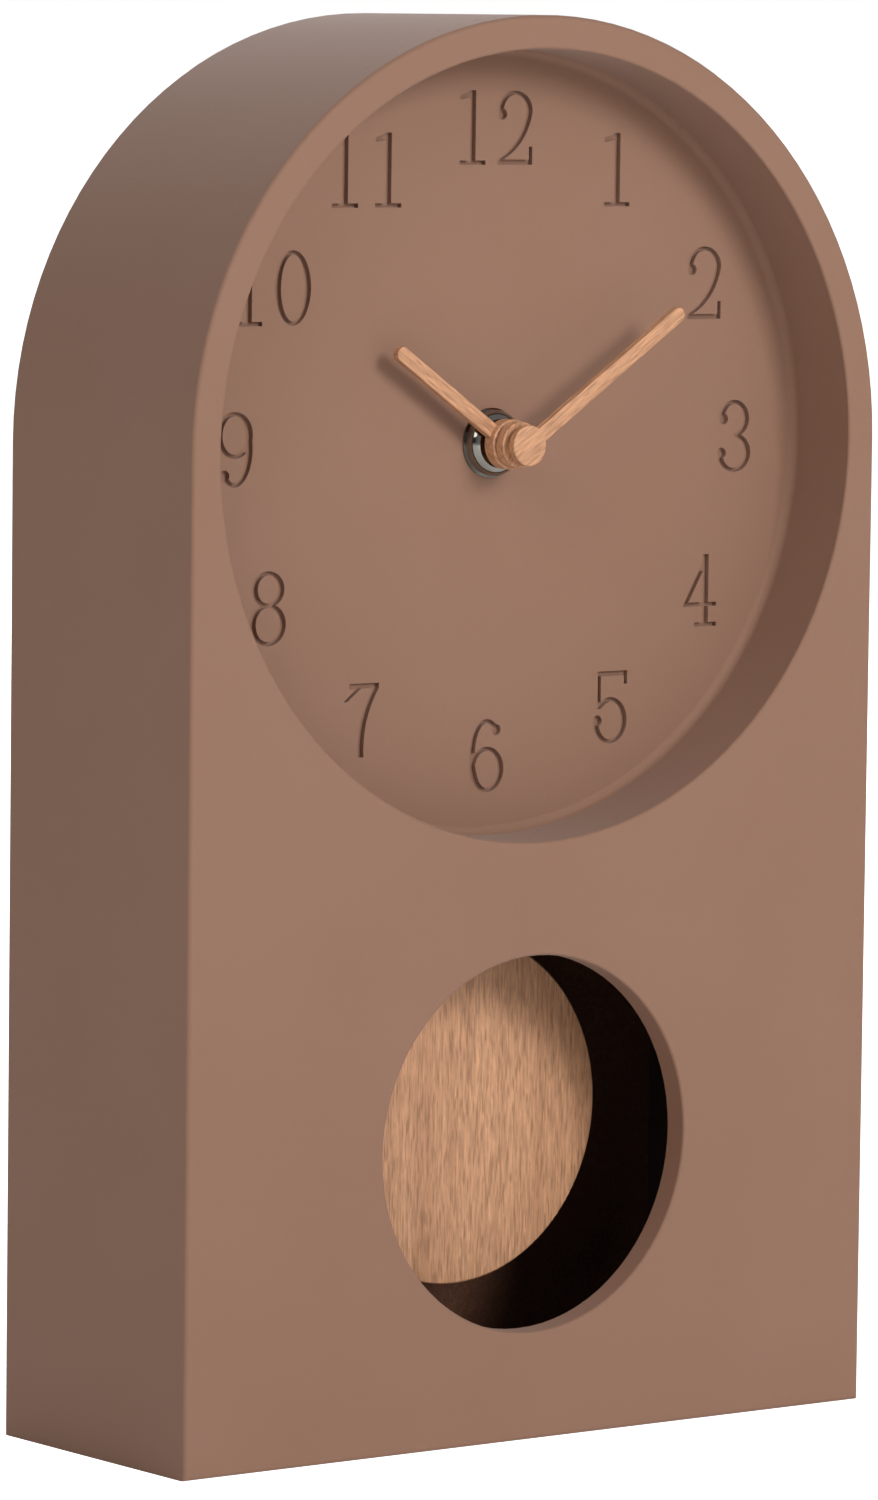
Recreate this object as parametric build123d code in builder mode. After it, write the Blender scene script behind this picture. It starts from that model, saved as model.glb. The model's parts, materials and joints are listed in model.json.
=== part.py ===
from build123d import *
import os
from math import acos, cos, pi, radians, sin, tan

# Desk pendulum clock, in millimetres. +Z is up, +X is to the right seen from the front and +Y runs to the
# back. The origin is at the middle of the base. A depth is measured back from the front face.

# Case
case_width = 180.0
case_height = 300.0
case_depth = 66.0
front_thickness = 5.5
case_wall = 10.0
base_thickness = 10.0
outer_edge_radius = 1.0
opening_edge_radius = 0.6

# Dial
dial_rim_width = 7.0
dial_opening_diameter = case_width - 2 * dial_rim_width
dial_ring_wall = 3.0
dial_recess_depth = 18.8
dial_thickness = 4.2
dial_cove_radius = 1.8
dial_fit = 0.15

# Numerals, cut into the dial
hours = 12
numeral_inset = 16.7
numeral_circle_radius = dial_opening_diameter / 2 - numeral_inset
digit_height = 15.6
digit_width = 9.2
digit_pitch = 11.2
stem_width = 1.5
hairline_width = 0.9
digit_base_height = 1.1
digit_serif_height = 3.8
terminal_radius = 1.2
one_foot_width = 6.8
two_bowl_height = 8.7
three_upper_height = 8.1
four_bar_height = 4.8
five_bowl_height = 10.0
five_shoulder_drop = 1.5
six_bowl_height = 9.7
six_terminal_inset = 2.1
eight_upper_height = 7.6
engraving_depth = 1.2

# Pendulum window
window_diameter = 80.0
window_height = 63.0

# Rear panel and its screws
rear_panel_thickness = 4.0
rear_lip = 4.0
rear_panel_fit = 0.25
access_width = 90.0
access_height = 114.0
access_corner_radius = 12.0
access_drop = 9.0
panel_screw_head_diameter = 5.2
panel_screw_shank_diameter = 2.6
panel_screw_length = 14.0
panel_screw_clearance = 0.1
panel_screw_side_heights = (60.0, 165.0)
panel_screw_arch_angles = (45.0, 135.0)
cross_slot_width = 0.6
cross_slot_length = 2.8
cross_slot_depth = 0.8

# Central fixing of the movement
bush_diameter = 8.0
bush_stand = 4.5
bush_flange_diameter = 14.0
bush_flange_thickness = 1.0
bush_stub_diameter = 7.0
bush_hole_clearance = 0.2
bush_stub_clearance = 0.05
rubber_washer_diameter = 19.0
rubber_washer_thickness = 1.0
nut_diameter = 14.0
nut_crown_diameter = 10.6
nut_height = 3.2
nut_rim_height = 0.9
nut_crown_radius = 0.6
nut_dome_bulge = 0.45
washer_diameter = 14.8
washer_thickness = 0.4

# Hands
hand_hour = 10
hand_minute = 9.3
hand_width = 3.2
hour_hand_length = 35.5
minute_hand_length = 49.5
hour_hub_diameter = 10.6
hour_hub_thickness = 3.0
hour_bar_thickness = 1.6
minute_hub_diameter = 8.6
minute_hand_thickness = 1.6
minute_collar_diameter = 9.8
minute_collar_thickness = 2.2
collar_setback = 1.4
hand_gap = 0.5
hand_edge_radius = 0.3
hour_collet_diameter = 7.0
minute_collet_diameter = 6.0

# Pipes and arbors of the hands
hour_pipe_diameter = 5.0
hour_pipe_wall = 0.75
hour_pipe_proud = 0.1
running_clearance = 0.05
train_clearance = 0.03
clutch_seat_diameter = 3.0

# Movement housing, measured from the hand axis
movement_width = 58.0
movement_top = 31.0
movement_bottom = 24.0
movement_depth = 20.0
movement_corner_radius = 3.0
chin_width = 34.0
chin_bottom = 47.0
chin_overlap = 10.0
shell_wall = 1.5
shell_screw_across = 50.8
shell_screw_heights = (-19.6, 10.4)
shell_boss_diameter = 4.6
shell_screw_diameter = 2.0
shell_screw_head_diameter = 3.6
shell_screw_head_height = 1.2
shell_screw_length = 15.0
shell_screw_clearance = 0.1

# Gears
pressure_angle = 20.0
wheel_addendum = 0.45
pinion_addendum = 1.0
root_clearance = 0.3
tooth_play = 0.03
wheel_thickness = 1.0
level_gap = 0.8
pinion_overhang = 0.2
first_level_gap = 0.4

# Motion work, from the minute shaft to the hour pipe
motion_module = 0.5
cannon_teeth = 10
motion_wheel_teeth = 30
motion_pinion_teeth = 8
hour_wheel_teeth = 32
motion_direction = 180.0
motion_arbor_diameter = 1.5
motion_pivot_depth = 1.0
knob_diameter = 12.0
knob_height = 5.0
knob_gap = 0.6
knob_flutes = 18
knob_flute_diameter = 1.4
knob_socket_depth = 4.0

# Going train, from the rotor to the centre wheel
train_module = 0.25
rotor_module = 0.25
train_pinion_teeth = 8
centre_wheel_teeth = 64
third_wheel_teeth = 60
seconds_wheel_teeth = 48
intermediate_wheel_teeth = 40
third_direction = -60.0
intermediate_direction = 20.0
rotor_direction = 20.0
post_diameter = 0.8
post_seat = 1.0
train_hub_diameter = 2.2
hub_end_play = 0.3
shaft_tail = 0.3
shaft_socket_depth = 2.2

# Stepping motor
rotor_magnet_diameter = 6.0
rotor_magnet_height = 2.5
rotor_air_gap = 0.4
stator_thickness = 0.8
stator_left = 3.5
stator_right = 5.3
stator_above = 5.4
stator_below = 12.4
stator_leg_width = 2.4
core_width = 2.8
core_thickness = 1.0
core_offset = 9.1
coil_diameter = 6.8
coil_end_gap = 0.4
stator_boss_diameter = 2.8
stator_boss_inset = 1.9
stator_boss_top_inset = 1.6

# Electronics
board_width = 44.0
board_height = 9.0
board_thickness = 1.2
board_drop = 17.0
crystal_diameter = 2.1
crystal_length = 6.0
crystal_offset = -12.0
chip_width = 8.0
chip_height = 6.5
chip_thickness = 1.3
chip_offset = 6.0

# Battery, an AA cell lying across the top of the movement
cell_diameter = 14.2
cell_length = 49.2
cell_nub_diameter = 5.5
cell_nub_length = 1.3
cell_edge_radius = 0.4
cell_rise = 21.5
cell_clearance = 0.6
battery_floor_gap = 0.3
battery_floor_thickness = 1.2
battery_floor_end_gap = 0.2
battery_door_length = 53.0
battery_door_height = 15.4
contact_thickness = 0.4
contact_width = 9.0

# Pendulum
pivot_drop = 29.0
pivot_pin_diameter = 1.5
hanger_hub_diameter = 7.0
hanger_hub_length = 7.0
pivot_boss_diameter = 6.0
hanger_end_play = 0.3
arm_setback = 9.1
arm_thickness = 3.0
arm_width = 8.0
arm_reach = 4.0
peg_drop = 25.0
peg_diameter = 3.0
peg_head_diameter = 4.6
peg_head_thickness = 0.7
peg_end_gap = 0.4
swing_limit = 8.0
slot_side_gap = 1.5
slot_depth_gap = 0.6
drive_magnet_diameter = 9.0
drive_magnet_height = 2.0
drive_drop = 10.0
drive_coil_diameter = 13.0
drive_coil_bore = 5.0
drive_coil_gap = 0.9
rod_width = 7.0
rod_thickness = 0.8
rod_top_rise = 4.5
rod_eye_clearance = 0.1
rod_keyhole_drop = 7.0
rod_gap = 0.3
rod_tail = 24.0
bob_diameter = 75.0
bob_height = 67.0
bob_core_thickness = 4.2
veneer_thickness = 0.6
bob_edge_radius = 0.4
bob_screw_spread = 14.0
bob_screw_diameter = 2.4
bob_screw_head_diameter = 4.4
bob_screw_head_height = 1.2
bob_screw_length = 3.0

# Places that follow from the sizes above
arch_radius = case_width / 2
dial_height = case_height - arch_radius
dial_radius = dial_opening_diameter / 2
dial_back = dial_recess_depth + dial_thickness
bush_flange_front = dial_back + rubber_washer_thickness
movement_front = bush_flange_front + bush_flange_thickness
movement_rear = movement_front + movement_depth
inner_front = movement_front + shell_wall
inner_rear = movement_rear - shell_wall
parting = movement_front + movement_depth / 2
rear_panel_front = case_depth - rear_panel_thickness
bush_front = dial_recess_depth - bush_stand
hour_hub_back = bush_front - hand_gap
hour_hub_front = hour_hub_back - hour_hub_thickness
hour_pipe_front = hour_hub_front - hour_pipe_proud
collar_back = hour_pipe_front - hand_gap
collar_front = collar_back - minute_collar_thickness
minute_hand_back = collar_front - collar_setback
minute_hand_front = minute_hand_back - minute_hand_thickness
minute_shaft_radius = hour_pipe_diameter / 2 - hour_pipe_wall - running_clearance
minute_angle = 360 * hand_minute / 60
hour_angle = 360 * (hand_hour + hand_minute / 60) / hours
arm_front = movement_front + arm_setback
arm_back = arm_front + arm_thickness
rod_back = arm_front - rod_gap
rod_front = rod_back - rod_thickness
bob_core_front = rod_front - bob_core_thickness
hanger_hub_front = (arm_front + arm_back - hanger_hub_length) / 2
hanger_hub_back = hanger_hub_front + hanger_hub_length
drive_coil_front = arm_back + drive_magnet_height + drive_coil_gap
cell_depth = inner_front + cell_clearance + cell_diameter / 2
battery_floor = cell_rise - cell_diameter / 2 - battery_floor_gap


def level_front(level):
    """Depth of the front of a wheel: the levels lie one behind the other, the hour wheel first."""
    return inner_front + first_level_gap + level * (wheel_thickness + level_gap)


def face_plane(depth, x=0.0, z=0.0, turn=0.0):
    """Plane at a depth, facing the front, turned clockwise as a clock hand turns."""
    clockwise = radians(turn)
    return Plane(
        origin=(x, depth - case_depth / 2, z),
        x_dir=(cos(clockwise), 0, -sin(clockwise)),
        z_dir=(0, -1, 0),
    )


def axis_plane(depth, x=0.0, z=0.0, turn=0.0):
    """Plane at a depth with its origin measured from the hand axis."""
    return face_plane(depth, x, dial_height + z, turn)


def rear_plane(depth, x=0.0, z=0.0):
    """Plane at a depth, facing the back."""
    return Plane(origin=(x, depth - case_depth / 2, z), x_dir=(-1, 0, 0), z_dir=(0, 1, 0))


def polar(distance, angle):
    return distance * cos(radians(angle)), distance * sin(radians(angle))


def finish(builder, name):
    builder.part.label = name
    export_step(builder.part, f"parts/{name}.step")


os.makedirs("parts", exist_ok=True)


# Case outline: straight sides under a half circle
def arch_face(half_width, bottom):
    with BuildSketch() as arch:
        with BuildLine():
            Line((half_width, bottom), (half_width, dial_height))
            ThreePointArc(
                (half_width, dial_height), (0, dial_height + half_width), (-half_width, dial_height)
            )
            Polyline((-half_width, dial_height), (-half_width, bottom), (half_width, bottom))
        make_face()
    return arch.sketch


case_arch = arch_face(arch_radius, 0)
cavity_arch = arch_face(arch_radius - case_wall, base_thickness)
rebate_arch = arch_face(arch_radius - rear_lip, rear_lip)
rear_panel_arch = arch_face(arch_radius - rear_lip - rear_panel_fit, rear_lip + rear_panel_fit)

with BuildPart() as front_panel:
    with BuildSketch(face_plane(front_thickness)):
        add(case_arch)
        with Locations((0, dial_height)):
            Circle(dial_radius, mode=Mode.SUBTRACT)
        with Locations((0, window_height)):
            Circle(window_diameter / 2, mode=Mode.SUBTRACT)
    extrude(amount=front_thickness)
    front_face = front_panel.faces().sort_by(Axis.Y)[0]
    fillet(front_face.outer_wire().edges(), outer_edge_radius)
    front_face = front_panel.faces().filter_by(Axis.Y).sort_by(Axis.Y)[0]
    fillet([edge for wire in front_face.inner_wires() for edge in wire.edges()], opening_edge_radius)
finish(front_panel, "front_panel")

# Rear panel screws sit in the middle of the ledge that the panel rests on
ledge_inset = (case_wall + rear_lip) / 2
ledge_radius = arch_radius - ledge_inset
panel_screw_places = [(side * ledge_radius, z) for side in (-1, 1) for z in panel_screw_side_heights]
for angle in panel_screw_arch_angles:
    across, rise = polar(ledge_radius, angle)
    panel_screw_places.append((across, dial_height + rise))
panel_screw_places.append((0, (base_thickness + rear_lip) / 2))

with BuildPart() as case_shell:
    with BuildSketch(face_plane(case_depth)):
        add(case_arch)
        add(cavity_arch, mode=Mode.SUBTRACT)
    extrude(amount=case_depth - front_thickness)
    with BuildSketch(axis_plane(dial_back)):
        Circle(dial_radius + dial_ring_wall + dial_fit)
    extrude(amount=dial_back - front_thickness, mode=Mode.SUBTRACT)
    with BuildSketch(face_plane(case_depth)):
        add(rebate_arch)
    extrude(amount=rear_panel_thickness, mode=Mode.SUBTRACT)
    with BuildSketch(face_plane(rear_panel_front)):
        with Locations(*panel_screw_places):
            Circle(panel_screw_shank_diameter / 2)
    extrude(amount=panel_screw_length - rear_panel_thickness, mode=Mode.SUBTRACT)
    rear_face = case_shell.faces().filter_by(Axis.Y).sort_by(Axis.Y)[-1]
    fillet(rear_face.outer_wire().edges(), outer_edge_radius)
finish(case_shell, "case_shell")


# Numerals, drawn about their own middle: upright figures with thick stems, hairlines and ball ends
half_height = digit_height / 2
half_width = digit_width / 2


def digit_ring(rise, across, up):
    """Bowl of a figure: an ellipse with thick sides and a thin top and bottom."""
    with BuildSketch() as ring:
        with Locations((0, rise)):
            Ellipse(across, up)
            Ellipse(across - stem_width, up - hairline_width, mode=Mode.SUBTRACT)
    return ring.sketch


def digit_zero():
    return digit_ring(0, half_width, half_height)


def digit_one():
    foot = one_foot_width / 2
    flag_drop = stem_width
    with BuildSketch() as digit:
        Rectangle(stem_width, digit_height)
        with Locations((0, -half_height)):
            Rectangle(2 * foot, hairline_width, align=(Align.CENTER, Align.MIN))
        with BuildLine():
            Polyline(
                (0, half_height),
                (-foot, half_height - flag_drop + hairline_width / 2),
                (-foot, half_height - flag_drop - hairline_width / 2),
                (0, half_height - flag_drop),
                close=True,
            )
        make_face()
    return digit.sketch


def digit_two():
    bowl = two_bowl_height / 2
    rise = half_height - bowl
    base_top = -half_height + digit_base_height
    with BuildSketch() as digit:
        add(digit_ring(rise, half_width, bowl))
        with Locations((0, rise)):
            Rectangle(2 * half_width, bowl, align=(Align.CENTER, Align.MAX), mode=Mode.SUBTRACT)
        with Locations((terminal_radius - half_width, rise - terminal_radius / 2)):
            Circle(terminal_radius)
        with BuildLine():
            Line((half_width, rise), (half_width - stem_width, rise))
            ThreePointArc(
                (half_width - stem_width, rise),
                (half_width - 2 * stem_width, rise - bowl),
                (-half_width, base_top),
            )
            Line((-half_width, base_top), (hairline_width - half_width, base_top))
            Line((hairline_width - half_width, base_top), (stem_width - half_width, base_top))
            ThreePointArc(
                (stem_width - half_width, base_top),
                (half_width - stem_width, rise - bowl),
                (half_width, rise),
            )
        make_face()
        with Locations((0, -half_height)):
            Rectangle(digit_width, digit_base_height, align=(Align.CENTER, Align.MIN))
        with Locations((half_width, -half_height)):
            Rectangle(hairline_width, digit_serif_height, align=(Align.MAX, Align.MIN))
    return digit.sketch


def digit_three():
    upper = three_upper_height / 2
    lower = half_height + hairline_width / 2 - upper
    upper_rise = half_height - upper
    lower_rise = lower - half_height
    upper_across = half_width - hairline_width / 2
    with BuildSketch() as digit:
        add(digit_ring(upper_rise, upper_across, upper))
        add(digit_ring(lower_rise, half_width, lower))
        with Locations((-half_width, lower_rise)):
            Rectangle(half_width, upper_rise - lower_rise, align=(Align.MIN, Align.MIN), mode=Mode.SUBTRACT)
        with Locations((terminal_radius - upper_across, upper_rise)):
            Circle(terminal_radius)
        with Locations((terminal_radius - half_width, lower_rise)):
            Circle(terminal_radius)
    return digit.sketch


def digit_four():
    stem = half_width - 2 * stem_width
    slant = (stem_width + hairline_width) / 2
    bar_rise = four_bar_height - half_height
    foot = digit_serif_height
    with BuildSketch() as digit:
        with Locations((stem, 0)):
            Rectangle(stem_width, digit_height, align=(Align.CENTER, Align.CENTER))
        with Locations((0, bar_rise)):
            Rectangle(digit_width, hairline_width)
        with Locations((stem, -half_height)):
            Rectangle(2 * foot - stem_width, hairline_width, align=(Align.CENTER, Align.MIN))
        with BuildLine():
            Polyline(
                (stem, half_height),
                (-half_width, bar_rise),
                (slant - half_width, bar_rise),
                (stem, half_height - 2 * slant),
                close=True,
            )
        make_face()
    return digit.sketch


def digit_five():
    bowl = five_bowl_height / 2
    rise = bowl - half_height
    stroke = terminal_radius - half_width
    with BuildSketch() as digit:
        add(digit_ring(rise, half_width, bowl))
        with Locations((-half_width, rise)):
            Rectangle(-stroke, bowl, align=(Align.MIN, Align.MIN), mode=Mode.SUBTRACT)
        with Locations((terminal_radius - half_width, rise)):
            Circle(terminal_radius)
        with Locations((stroke, rise + bowl / 2)):
            Rectangle(hairline_width, half_height - rise - bowl / 2, align=(Align.MIN, Align.MIN))
        with BuildLine():
            Line((stroke, rise + bowl / 2), (stroke + hairline_width, rise + bowl / 2))
            ThreePointArc(
                (stroke + hairline_width, rise + bowl / 2),
                (stroke / 2 + hairline_width / 2, rise + bowl - five_shoulder_drop),
                (0, rise + bowl - hairline_width),
            )
            Line((0, rise + bowl - hairline_width), (0, rise + bowl))
            ThreePointArc(
                (0, rise + bowl),
                (stroke / 2, rise + bowl - hairline_width / 2),
                (stroke, rise + bowl / 2),
            )
        make_face()
        with Locations((stroke, half_height)):
            Rectangle(half_width - stroke, digit_base_height, align=(Align.MIN, Align.MAX))
        with Locations((half_width, half_height)):
            Rectangle(hairline_width, digit_serif_height - hairline_width, align=(Align.MAX, Align.MAX))
    return digit.sketch


def digit_six():
    bowl = six_bowl_height / 2
    tail_rise = half_height - 2 * terminal_radius
    with BuildSketch() as digit:
        add(digit_zero())
        with Locations((0, tail_rise)):
            Rectangle(half_width, 2 * digit_height, align=(Align.MIN, Align.MAX), mode=Mode.SUBTRACT)
        add(digit_ring(bowl - half_height, half_width, bowl))
        with Locations((half_width - six_terminal_inset, tail_rise)):
            Circle(terminal_radius)
    return digit.sketch


def digit_seven():
    leg = stem_width / 2
    bar_bottom = half_height - digit_base_height
    hook_bottom = half_height - digit_serif_height
    with BuildSketch() as digit:
        with Locations((half_width, half_height)):
            Rectangle(digit_width - stem_width, digit_base_height, align=(Align.MAX, Align.MAX))
        with BuildLine():
            Polyline(
                (-half_width, hook_bottom),
                (hairline_width - half_width, hook_bottom),
                (0, bar_bottom),
                (-stem_width, bar_bottom),
                close=True,
            )
        make_face()
        with BuildLine():
            Line((half_width, bar_bottom), (half_width - stem_width, bar_bottom))
            ThreePointArc((half_width - stem_width, bar_bottom), (0, 0), (-leg, -half_height))
            Line((-leg, -half_height), (leg, -half_height))
            ThreePointArc((leg, -half_height), (stem_width, 0), (half_width, bar_bottom))
        make_face()
    return digit.sketch


def digit_eight():
    upper = eight_upper_height / 2
    lower = half_height + hairline_width / 2 - upper
    with BuildSketch() as digit:
        add(digit_ring(half_height - upper, half_width - hairline_width / 2, upper))
        add(digit_ring(lower - half_height, half_width, lower))
    return digit.sketch


def digit_nine():
    with BuildSketch() as digit:
        add(digit_six(), rotation=180)
    return digit.sketch


digits = {
    "0": digit_zero(),
    "1": digit_one(),
    "2": digit_two(),
    "3": digit_three(),
    "4": digit_four(),
    "5": digit_five(),
    "6": digit_six(),
    "7": digit_seven(),
    "8": digit_eight(),
    "9": digit_nine(),
}

with BuildPart() as dial_cup:
    with BuildSketch(axis_plane(dial_back)):
        Circle(dial_radius + dial_ring_wall)
    extrude(amount=dial_back - front_thickness)
    with BuildSketch(axis_plane(dial_recess_depth)):
        Circle(dial_radius)
    extrude(amount=dial_recess_depth - front_thickness, mode=Mode.SUBTRACT)
    floor_face = dial_cup.faces().filter_by(Axis.Y).sort_by(Axis.Y)[-2]
    fillet(floor_face.edges(), dial_cove_radius)
    with BuildSketch(axis_plane(dial_back)):
        Circle(bush_diameter / 2 + bush_hole_clearance)
    extrude(amount=dial_thickness, mode=Mode.SUBTRACT)
    with BuildSketch(axis_plane(dial_recess_depth)):
        for number in range(1, hours + 1):
            middle_x, middle_z = polar(numeral_circle_radius, 90 - 360 * number / hours)
            figures = str(number)
            for index, figure in enumerate(figures):
                step = (index - (len(figures) - 1) / 2) * digit_pitch
                with Locations((middle_x + step, middle_z)):
                    add(digits[figure])
    extrude(amount=-engraving_depth, mode=Mode.SUBTRACT)
finish(dial_cup, "dial_cup")

with BuildPart() as rear_panel:
    with BuildSketch(face_plane(case_depth)):
        add(rear_panel_arch)
        with Locations((0, dial_height - access_drop)):
            RectangleRounded(access_width, access_height, access_corner_radius, mode=Mode.SUBTRACT)
    extrude(amount=rear_panel_thickness)
    with Locations(*[rear_plane(case_depth, x, z) for x, z in panel_screw_places]):
        CounterSinkHole(
            panel_screw_shank_diameter / 2 + panel_screw_clearance,
            panel_screw_head_diameter / 2 + panel_screw_clearance,
            counter_sink_angle=90,
        )
finish(rear_panel, "rear_panel")

with BuildPart() as rear_panel_screws:
    head_radius = panel_screw_head_diameter / 2
    shank_radius = panel_screw_shank_diameter / 2
    with Locations(*[rear_plane(case_depth, x, z) for x, z in panel_screw_places]):
        Cone(
            shank_radius,
            head_radius,
            head_radius - shank_radius,
            align=(Align.CENTER, Align.CENTER, Align.MAX),
        )
        Cylinder(shank_radius, panel_screw_length, align=(Align.CENTER, Align.CENTER, Align.MAX))
    with BuildSketch(*[rear_plane(case_depth, x, z) for x, z in panel_screw_places]):
        Rectangle(cross_slot_length, cross_slot_width)
        Rectangle(cross_slot_width, cross_slot_length)
    extrude(amount=-cross_slot_depth, mode=Mode.SUBTRACT)
finish(rear_panel_screws, "rear_panel_screws")

# Central fixing: bushing through the dial, rubber washer behind it, washer and ring nut in front
bush_radius = bush_diameter / 2
bush_bore_radius = hour_pipe_diameter / 2 + running_clearance

with BuildPart() as mounting_bushing:
    with BuildSketch(axis_plane(bush_flange_front)):
        Circle(bush_radius)
    extrude(amount=bush_flange_front - bush_front)
    with BuildSketch(axis_plane(movement_front)):
        Circle(bush_flange_diameter / 2)
    extrude(amount=bush_flange_thickness)
    with BuildSketch(axis_plane(inner_front)):
        Circle(bush_stub_diameter / 2)
    extrude(amount=shell_wall)
    with BuildSketch(axis_plane(inner_front)):
        Circle(bush_bore_radius)
    extrude(amount=inner_front - bush_front, mode=Mode.SUBTRACT)
finish(mounting_bushing, "mounting_bushing")

with BuildPart() as rubber_washer:
    with BuildSketch(axis_plane(bush_flange_front)):
        Circle(rubber_washer_diameter / 2)
        Circle(bush_radius, mode=Mode.SUBTRACT)
    extrude(amount=rubber_washer_thickness)
finish(rubber_washer, "rubber_washer")

with BuildPart() as mounting_washer:
    with BuildSketch(axis_plane(dial_recess_depth)):
        Circle(washer_diameter / 2)
        Circle(bush_radius, mode=Mode.SUBTRACT)
    extrude(amount=washer_thickness)
finish(mounting_washer, "mounting_washer")

# The ring nut: a low rim, then a dome up to a rounded crown
nut_seat = dial_recess_depth - washer_thickness
nut_profile_plane = Plane(
    origin=(0, nut_seat - case_depth / 2, dial_height), x_dir=(1, 0, 0), z_dir=(0, 0, 1)
)

with BuildPart() as mounting_nut:
    rim_point = Vector(nut_diameter / 2, -nut_rim_height)
    crown_point = Vector(nut_crown_diameter / 2, -nut_height)
    dome_chord = crown_point - rim_point
    dome_normal = Vector(-dome_chord.Y, dome_chord.X).normalized()
    dome_middle = (rim_point + crown_point) / 2 + dome_normal * nut_dome_bulge
    with BuildSketch(nut_profile_plane) as nut_profile:
        with BuildLine():
            Polyline(crown_point, (bush_radius, -nut_height), (bush_radius, 0), (nut_diameter / 2, 0), rim_point)
            ThreePointArc(rim_point, dome_middle, crown_point)
        make_face()
        crown = nut_profile.vertices().sort_by(Axis.Y)[0:2].sort_by(Axis.X)[-1]
        fillet(crown, nut_crown_radius)
    revolve(axis=Axis((0, 0, dial_height), (0, 1, 0)))
finish(mounting_nut, "mounting_nut")


# Gears
def gear_face(teeth, module, addendum, dedendum, phase):
    """Involute gear with a tooth centred on the phase angle, counted anticlockwise from +X."""
    pitch_radius = module * teeth / 2
    base_radius = pitch_radius * cos(radians(pressure_angle))
    tip_radius = pitch_radius + addendum * module
    root_radius = pitch_radius - dedendum * module
    start_radius = max(base_radius, root_radius)

    def involute(angle):
        return tan(angle) - angle

    def half_angle(radius):
        at_pitch = pi / (2 * teeth) - tooth_play / pitch_radius
        at_radius = acos(base_radius / max(radius, base_radius))
        return at_pitch + involute(radians(pressure_angle)) - involute(at_radius)

    def point(radius, angle):
        return radius * cos(angle), radius * sin(angle)

    flank = [start_radius, (start_radius + tip_radius) / 2, tip_radius]
    if root_radius < base_radius:
        flank.insert(0, root_radius)
    outline = []
    for tooth in range(teeth):
        middle = radians(phase) + 2 * pi * tooth / teeth
        outline += [point(radius, middle - half_angle(radius)) for radius in flank]
        outline += [point(radius, middle + half_angle(radius)) for radius in reversed(flank)]
    with BuildSketch() as gear:
        with BuildLine():
            Polyline(*outline, close=True)
        make_face()
    return gear.sketch


def wheel_face(teeth, module, gap_direction):
    """A wheel with a gap between two teeth facing its pinion."""
    return gear_face(
        teeth, module, wheel_addendum, pinion_addendum + root_clearance, gap_direction + 180 / teeth
    )


def pinion_face(teeth, module, tooth_direction):
    """A pinion with a tooth facing its wheel."""
    return gear_face(teeth, module, pinion_addendum, wheel_addendum + root_clearance, tooth_direction)


# Motion work: places of the arbors and the tooth directions
motion_distance = motion_module * (cannon_teeth + motion_wheel_teeth) / 2
hour_module = 2 * motion_distance / (motion_pinion_teeth + hour_wheel_teeth)
motion_place = polar(motion_distance, motion_direction)
to_axis = motion_direction + 180
motion_arbor_radius = motion_arbor_diameter / 2
shaft_rear = level_front(2) + wheel_thickness + shaft_tail
post_radius = post_diameter / 2
post_bore_radius = post_radius + train_clearance

with BuildPart() as minute_shaft:
    with BuildSketch(axis_plane(level_front(1))):
        Circle(minute_shaft_radius)
    extrude(amount=level_front(1) - minute_hand_back)
    with BuildSketch(axis_plane(level_front(1) + wheel_thickness + pinion_overhang)):
        add(pinion_face(cannon_teeth, motion_module, motion_direction))
    extrude(amount=wheel_thickness + 2 * pinion_overhang)
    with BuildSketch(axis_plane(shaft_rear)):
        Circle(clutch_seat_diameter / 2)
    extrude(amount=shaft_rear - level_front(1) - wheel_thickness)
    with BuildSketch(axis_plane(shaft_rear)):
        Circle(post_bore_radius)
    extrude(amount=shaft_socket_depth, mode=Mode.SUBTRACT)
finish(minute_shaft, "minute_shaft")

with BuildPart() as hour_wheel:
    with BuildSketch(axis_plane(level_front(0) + wheel_thickness)):
        add(wheel_face(hour_wheel_teeth, hour_module, motion_direction))
    extrude(amount=wheel_thickness)
    with BuildSketch(axis_plane(level_front(0))):
        Circle(hour_pipe_diameter / 2)
    extrude(amount=level_front(0) - hour_pipe_front)
    with BuildSketch(axis_plane(level_front(0) + wheel_thickness)):
        Circle(hour_pipe_diameter / 2 - hour_pipe_wall)
    extrude(amount=level_front(0) + wheel_thickness - hour_pipe_front, mode=Mode.SUBTRACT)
finish(hour_wheel, "hour_wheel")

knob_front = movement_rear + knob_gap
with BuildPart() as motion_wheel:
    with BuildSketch(axis_plane(level_front(1) + wheel_thickness, *motion_place)):
        add(wheel_face(motion_wheel_teeth, motion_module, to_axis))
    extrude(amount=wheel_thickness)
    with BuildSketch(axis_plane(level_front(1), *motion_place)):
        add(pinion_face(motion_pinion_teeth, hour_module, to_axis))
    extrude(amount=wheel_thickness + level_gap + pinion_overhang)
    with BuildSketch(axis_plane(knob_front + knob_socket_depth, *motion_place)):
        Circle(motion_arbor_radius)
    extrude(amount=knob_front + knob_socket_depth - inner_front + motion_pivot_depth)
finish(motion_wheel, "motion_wheel")

with BuildPart() as setting_knob:
    with BuildSketch(axis_plane(knob_front + knob_height, *motion_place)):
        Circle(knob_diameter / 2)
        with PolarLocations(knob_diameter / 2, knob_flutes):
            Circle(knob_flute_diameter / 2, mode=Mode.SUBTRACT)
    extrude(amount=knob_height)
    with BuildSketch(axis_plane(knob_front + knob_socket_depth, *motion_place)):
        Circle(motion_arbor_radius)
    extrude(amount=knob_socket_depth, mode=Mode.SUBTRACT)
finish(setting_knob, "setting_knob")

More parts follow.
